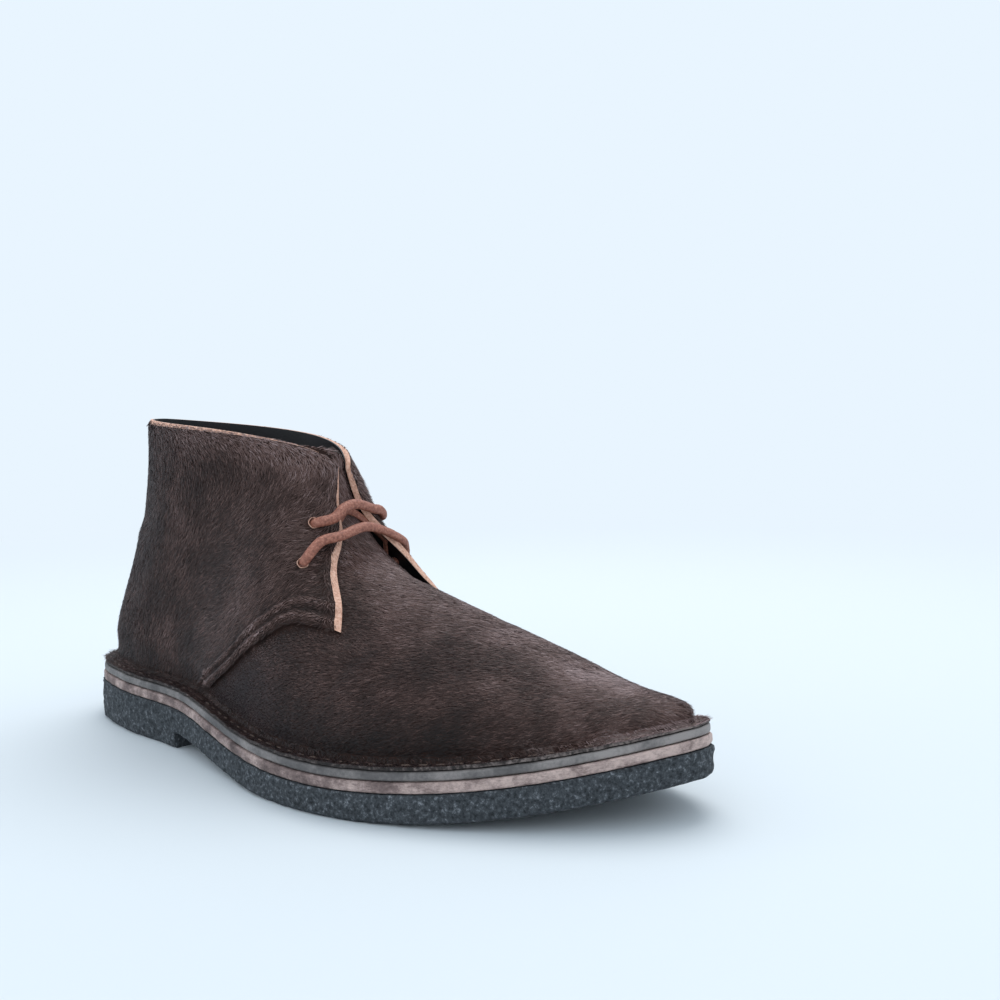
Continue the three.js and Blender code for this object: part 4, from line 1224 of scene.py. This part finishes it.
# The stitches: brown waxed thread through flange, runner and midsole, one row all the way round. Each
# stitch is a short thick bead that sinks in at both ends.
stitch_pitch = 6.0
stitch_length = 3.6
thread_width = 0.85
stitch_rise = -1.5
thread_colours = ("#33261f", "#5f4a3e")
thread, tree, shader, where = new_material("waxed_linen_thread")
twist = grain(tree, where, 1.1, 3.0)
dress(tree, shader, ramp(tree, twist, (0.35, 0.65), thread_colours), twist, 0.5, 0.2, 0.6)
bead_turn = np.linspace(0, 2 * np.pi, 8, endpoint=False)
bead_rows = []
for k in np.linspace(-1, 1, 7):
    radius = thread_width / 2 * math.sqrt(max(0.02, 1 - abs(k) ** 3))
    bead_rows.append(np.column_stack([radius * np.cos(bead_turn), radius * np.sin(bead_turn),
                                      np.full(8, k * stitch_length / 2)]))
bead_points = np.vstack(bead_rows + [[[0, 0, -stitch_length / 2 - 0.1]], [[0, 0, stitch_length / 2 + 0.1]]])
bead_faces = [tuple(q) for q in grid_quads(7, 8, closed=True).tolist()]
bead_faces += [(56, (n + 1) % 8, n) for n in range(8)] + [(57, 48 + n, 48 + (n + 1) % 8) for n in range(8)]
bead_mesh = bpy.data.meshes.new("stitch")
bead_mesh.from_pydata((bead_points * 0.001).tolist(), [], bead_faces)
bead_mesh.shade_smooth()
bead = bpy.data.objects.new("stitch", bead_mesh)
bpy.context.collection.objects.link(bead)
sewing, given = new_tree("stitches_on_a_line", {
    "Pitch": "NodeSocketFloat", "Stitch": "NodeSocketObject", "Finish": "NodeSocketMaterial"})
line = add(sewing, "GeometryNodeCurveToPoints", {"mode": "LENGTH"}, {
    "Curve": given.outputs["Geometry"], "Length": given.outputs["Pitch"]})
source = add(sewing, "GeometryNodeObjectInfo", {}, {"Object": given.outputs["Stitch"]})
unevenly = add(sewing, "FunctionNodeRandomValue", {"data_type": "FLOAT"}, {2: 0.8, 3: 1.1, "Seed": 6})
placed = add(sewing, "GeometryNodeInstanceOnPoints", {}, {
    "Points": line.outputs["Points"], "Instance": source.outputs["Geometry"],
    "Rotation": line.outputs["Rotation"], "Scale": unevenly.outputs[1]})
real = add(sewing, "GeometryNodeRealizeInstances", {}, {"Geometry": placed.outputs[0]})
finished = add(sewing, "GeometryNodeSetMaterial", {}, {"Geometry": real.outputs[0],
                                                       "Material": given.outputs["Finish"]})
add(sewing, "NodeGroupOutput", {}, {"Geometry": finished.outputs[0]})


def line_object(name, points, closed):
    """A helper curve with straight spans through points given in the maker's frame."""
    curve = bpy.data.curves.new(name, "CURVE")
    curve.dimensions = "3D"
    path = curve.splines.new("POLY")
    path.points.add(len(points) - 1)
    metres = (points + to_frame) * 0.001
    path.points.foreach_set("co", np.column_stack([metres, np.ones(len(points))]).ravel())
    path.use_cyclic_u = closed
    made = bpy.data.objects.new(name, curve)
    bpy.context.collection.objects.link(made)
    return made


around_toe = [last_point(side, np.linspace(0, 1, 200)[::step], stitch_rise)
              for side, step in ((-1, 1), (1, -1))]
stitch_line = np.vstack([around_toe[0][:-1], around_toe[1][:-1]])
stitch_line[:, 2] -= 0.1 + np.concatenate([edge_press(np.linspace(0, 1, 200)[::step], stitch_rise)[:-1]
                                           for step in (1, -1)])
grow("flange_stitches", line_object("stitch_line", stitch_line, True), sewing, {
    "Pitch": stitch_pitch * 0.001, "Stitch": bead, "Finish": thread})
bpy.data.objects.remove(bead)

# The eyelets: bare punched holes without metal. The punch leaves a thin raised ring of raw fibre.
rim_width = 0.32
rim_points = []
rim_quads = []
for side in (-1, 1):
    for row in lace_rows.values():
        place, out, far_out, _ = eyelet(side, row[side]["eyelet"])
        one = unit(np.cross(out, [0.2, 0.3, 0.93]))
        two = np.cross(out, one)
        turn = np.linspace(0, 2 * np.pi, 40, endpoint=False)[:, None]
        tube = np.linspace(0, 2 * np.pi, 8, endpoint=False)[None, :]
        radius = eyelet_hole / 2 + 0.1 + rim_width / 2 * np.cos(tube) + 0.06 * np.sin(5 * turn)
        lift = far_out + 0.1 + 0.25 * np.sin(tube) + 0.05 * np.sin(7 * turn)
        ring = (radius[..., None] * (np.cos(turn)[..., None] * one + np.sin(turn)[..., None] * two)
                + lift[..., None] * out + place)
        faces = grid_quads(41, 8, closed=True) % 320
        rim_quads.append(faces[:, ::-1] + 320 * len(rim_points))
        rim_points.append(ring.reshape(-1, 3))
make_piece("eyelet_rims", np.vstack(rim_points), np.vstack(rim_quads), [raw_edge])

# The lace: one length of round waxed cord, reddish brown. It goes over the throat between the lower
# eyelets, crosses inside under the facings to the upper outer eyelet, and over again to the last one.
# Its hidden ends stop inside at the top eyelets. Inside, where it is pressed, it is flat.
lace_thickness = 3.8
lace_gap = 0.75
lace_arch = 2.0
lace_colours = ("#673d31", "#985f4d", "#bd8874")
lace_twist = 2.6


def lace_bar(row, start_side):
    """Places of the lace over the throat from one eyelet to the other, with the way up and its width."""
    over = lace_thickness / 2 + 0.1
    halves = {}
    for side in (-1, 1):
        place, out, far_out, around = eyelet(side, row[side]["eyelet"])
        low, high = row[side]["eyelet"], row[side]["edge"]
        arch = lace_arch if side < 0 else lace_arch * 0.3
        near_place, near_outer = quarter_point(side, mix(around, 1, 0.16), mix(low, high, 0.1))[:2]
        middle, middle_outer = quarter_point(side, (1 + around) / 2, (low + high) / 2)[:2]
        edge, edge_outer = quarter_point(side, 1, high)[:2]
        halves[side] = [
            (place - 2.1 * out, out, 0.55), (place + (far_out - 0.6) * out, out, 0.8),
            (near_place + (near_outer + over - 0.2) * out, out, 0.95),
            (middle + (middle_outer + over + arch / 2) * out, out, 1.0),
            (edge + (edge_outer + over + arch) * out, out, 1.0),
        ]
    ridge_at = (facing_at(-1, row[-1]["edge"]) + facing_at(1, row[1]["edge"])) / 2
    way = unit(ridge_point(np.array(ridge_at + 0.01)) - ridge_point(np.array(ridge_at - 0.01)))
    ridge_out = np.array([-way[2], 0, way[0]])
    top = (ridge_point(np.array(ridge_at)) + (over + lace_gap + lace_arch) * ridge_out, ridge_out, 1.0)
    return halves[start_side] + [top] + halves[-start_side][::-1]


def under_facing(side, around, climb, deep):
    """A place of the lace between lining and tongue."""
    place, _, back = quarter_point(side, around, climb)[:3]
    out = eyelet(side, climb)[1]
    return (place + (back - deep) * out, out, 0.4)


lower, upper = lace_rows["lower"], lace_rows["upper"]
route = [under_facing(-1, 0.93, 0.58, 0.7), under_facing(-1, 0.92, 0.47, 0.7)]
route += lace_bar(lower, -1)
route += [under_facing(1, 0.9, 0.44, 0.9), under_facing(1, 0.93, 0.52, 1.0)]
middle_at = 0.508
middle_way = unit(ridge_point(np.array(middle_at + 0.01)) - ridge_point(np.array(middle_at - 0.01)))
middle_out = np.array([-middle_way[2], 0, middle_way[0]])
route += [(ridge_point(np.array(middle_at)) + (tongue_drop + 1.2) * middle_out, middle_out, 0.6)]
route += [under_facing(-1, 0.97, 0.8, 1.0), under_facing(-1, 0.91, 0.72, 0.9)]
route += lace_bar(upper, -1)
route += [under_facing(1, 0.93, 0.5, 0.7)]
lace_steps = 620
lace_sides = 20
lace_path, lace_ways = spline([r[0] for r in route], lace_steps)
route_marks = np.linspace(0, len(route) - 1, lace_steps)
lace_ups = np.column_stack([np.interp(route_marks, np.arange(len(route)), [r[1][n] for r in route])
                            for n in range(3)])
lace_flat = np.interp(route_marks, np.arange(len(route)), [r[2] for r in route])
lace_across = unit(np.cross(lace_ways, lace_ups))
lace_ups = np.cross(lace_across, lace_ways)
turn = np.linspace(0, 2 * np.pi, lace_sides, endpoint=False)[None, :]
lace_lengths = np.append(0, np.cumsum(np.linalg.norm(np.diff(lace_path, axis=0), axis=1)))[:, None]
braid = 0.09 * np.sin(2 * np.pi * lace_lengths / lace_twist + 2 * turn) * np.sin(
    2 * np.pi * lace_lengths / lace_twist - 2 * turn)
half_width = lace_thickness / 2 * mix(0.86, 1.04, ease(0.4, 1, lace_flat))[:, None] + braid
half_depth = lace_thickness / 2 * 0.86 * lace_flat[:, None] + braid * lace_flat[:, None]
points = (lace_path[:, None] + (half_width * np.cos(turn))[..., None] * lace_across[:, None]
          + (half_depth * np.sin(turn))[..., None] * lace_ups[:, None])
body = grid_quads(lace_steps, lace_sides, closed=True)
ends = np.vstack([lace_path[:1] - lace_ways[:1] * 0.8, lace_path[-1:] + lace_ways[-1:] * 0.8])
count = lace_steps * lace_sides
i = np.arange(lace_sides)
k = (i + 1) % lace_sides
tips_of_lace = np.full(lace_sides, count)
first_end = np.column_stack([i, k, tips_of_lace, tips_of_lace])
last_row = count - lace_sides
last_end = np.column_stack([last_row + k, last_row + i, tips_of_lace + 1, tips_of_lace + 1])
lace_cord, tree, shader, where = new_material("lace_waxed_cord")
yarn = grain(tree, where, 1.0, 4.0, 0.7)
dress(tree, shader, ramp(tree, yarn, (0.3, 0.52, 0.75), lace_colours), yarn, 0.7, 0.3, 0.6)
make_piece("lace", np.vstack([points.reshape(-1, 3), ends]), np.vstack([body, first_end, last_end]),
           [lace_cord], ["lace_lower", "lace_upper"])
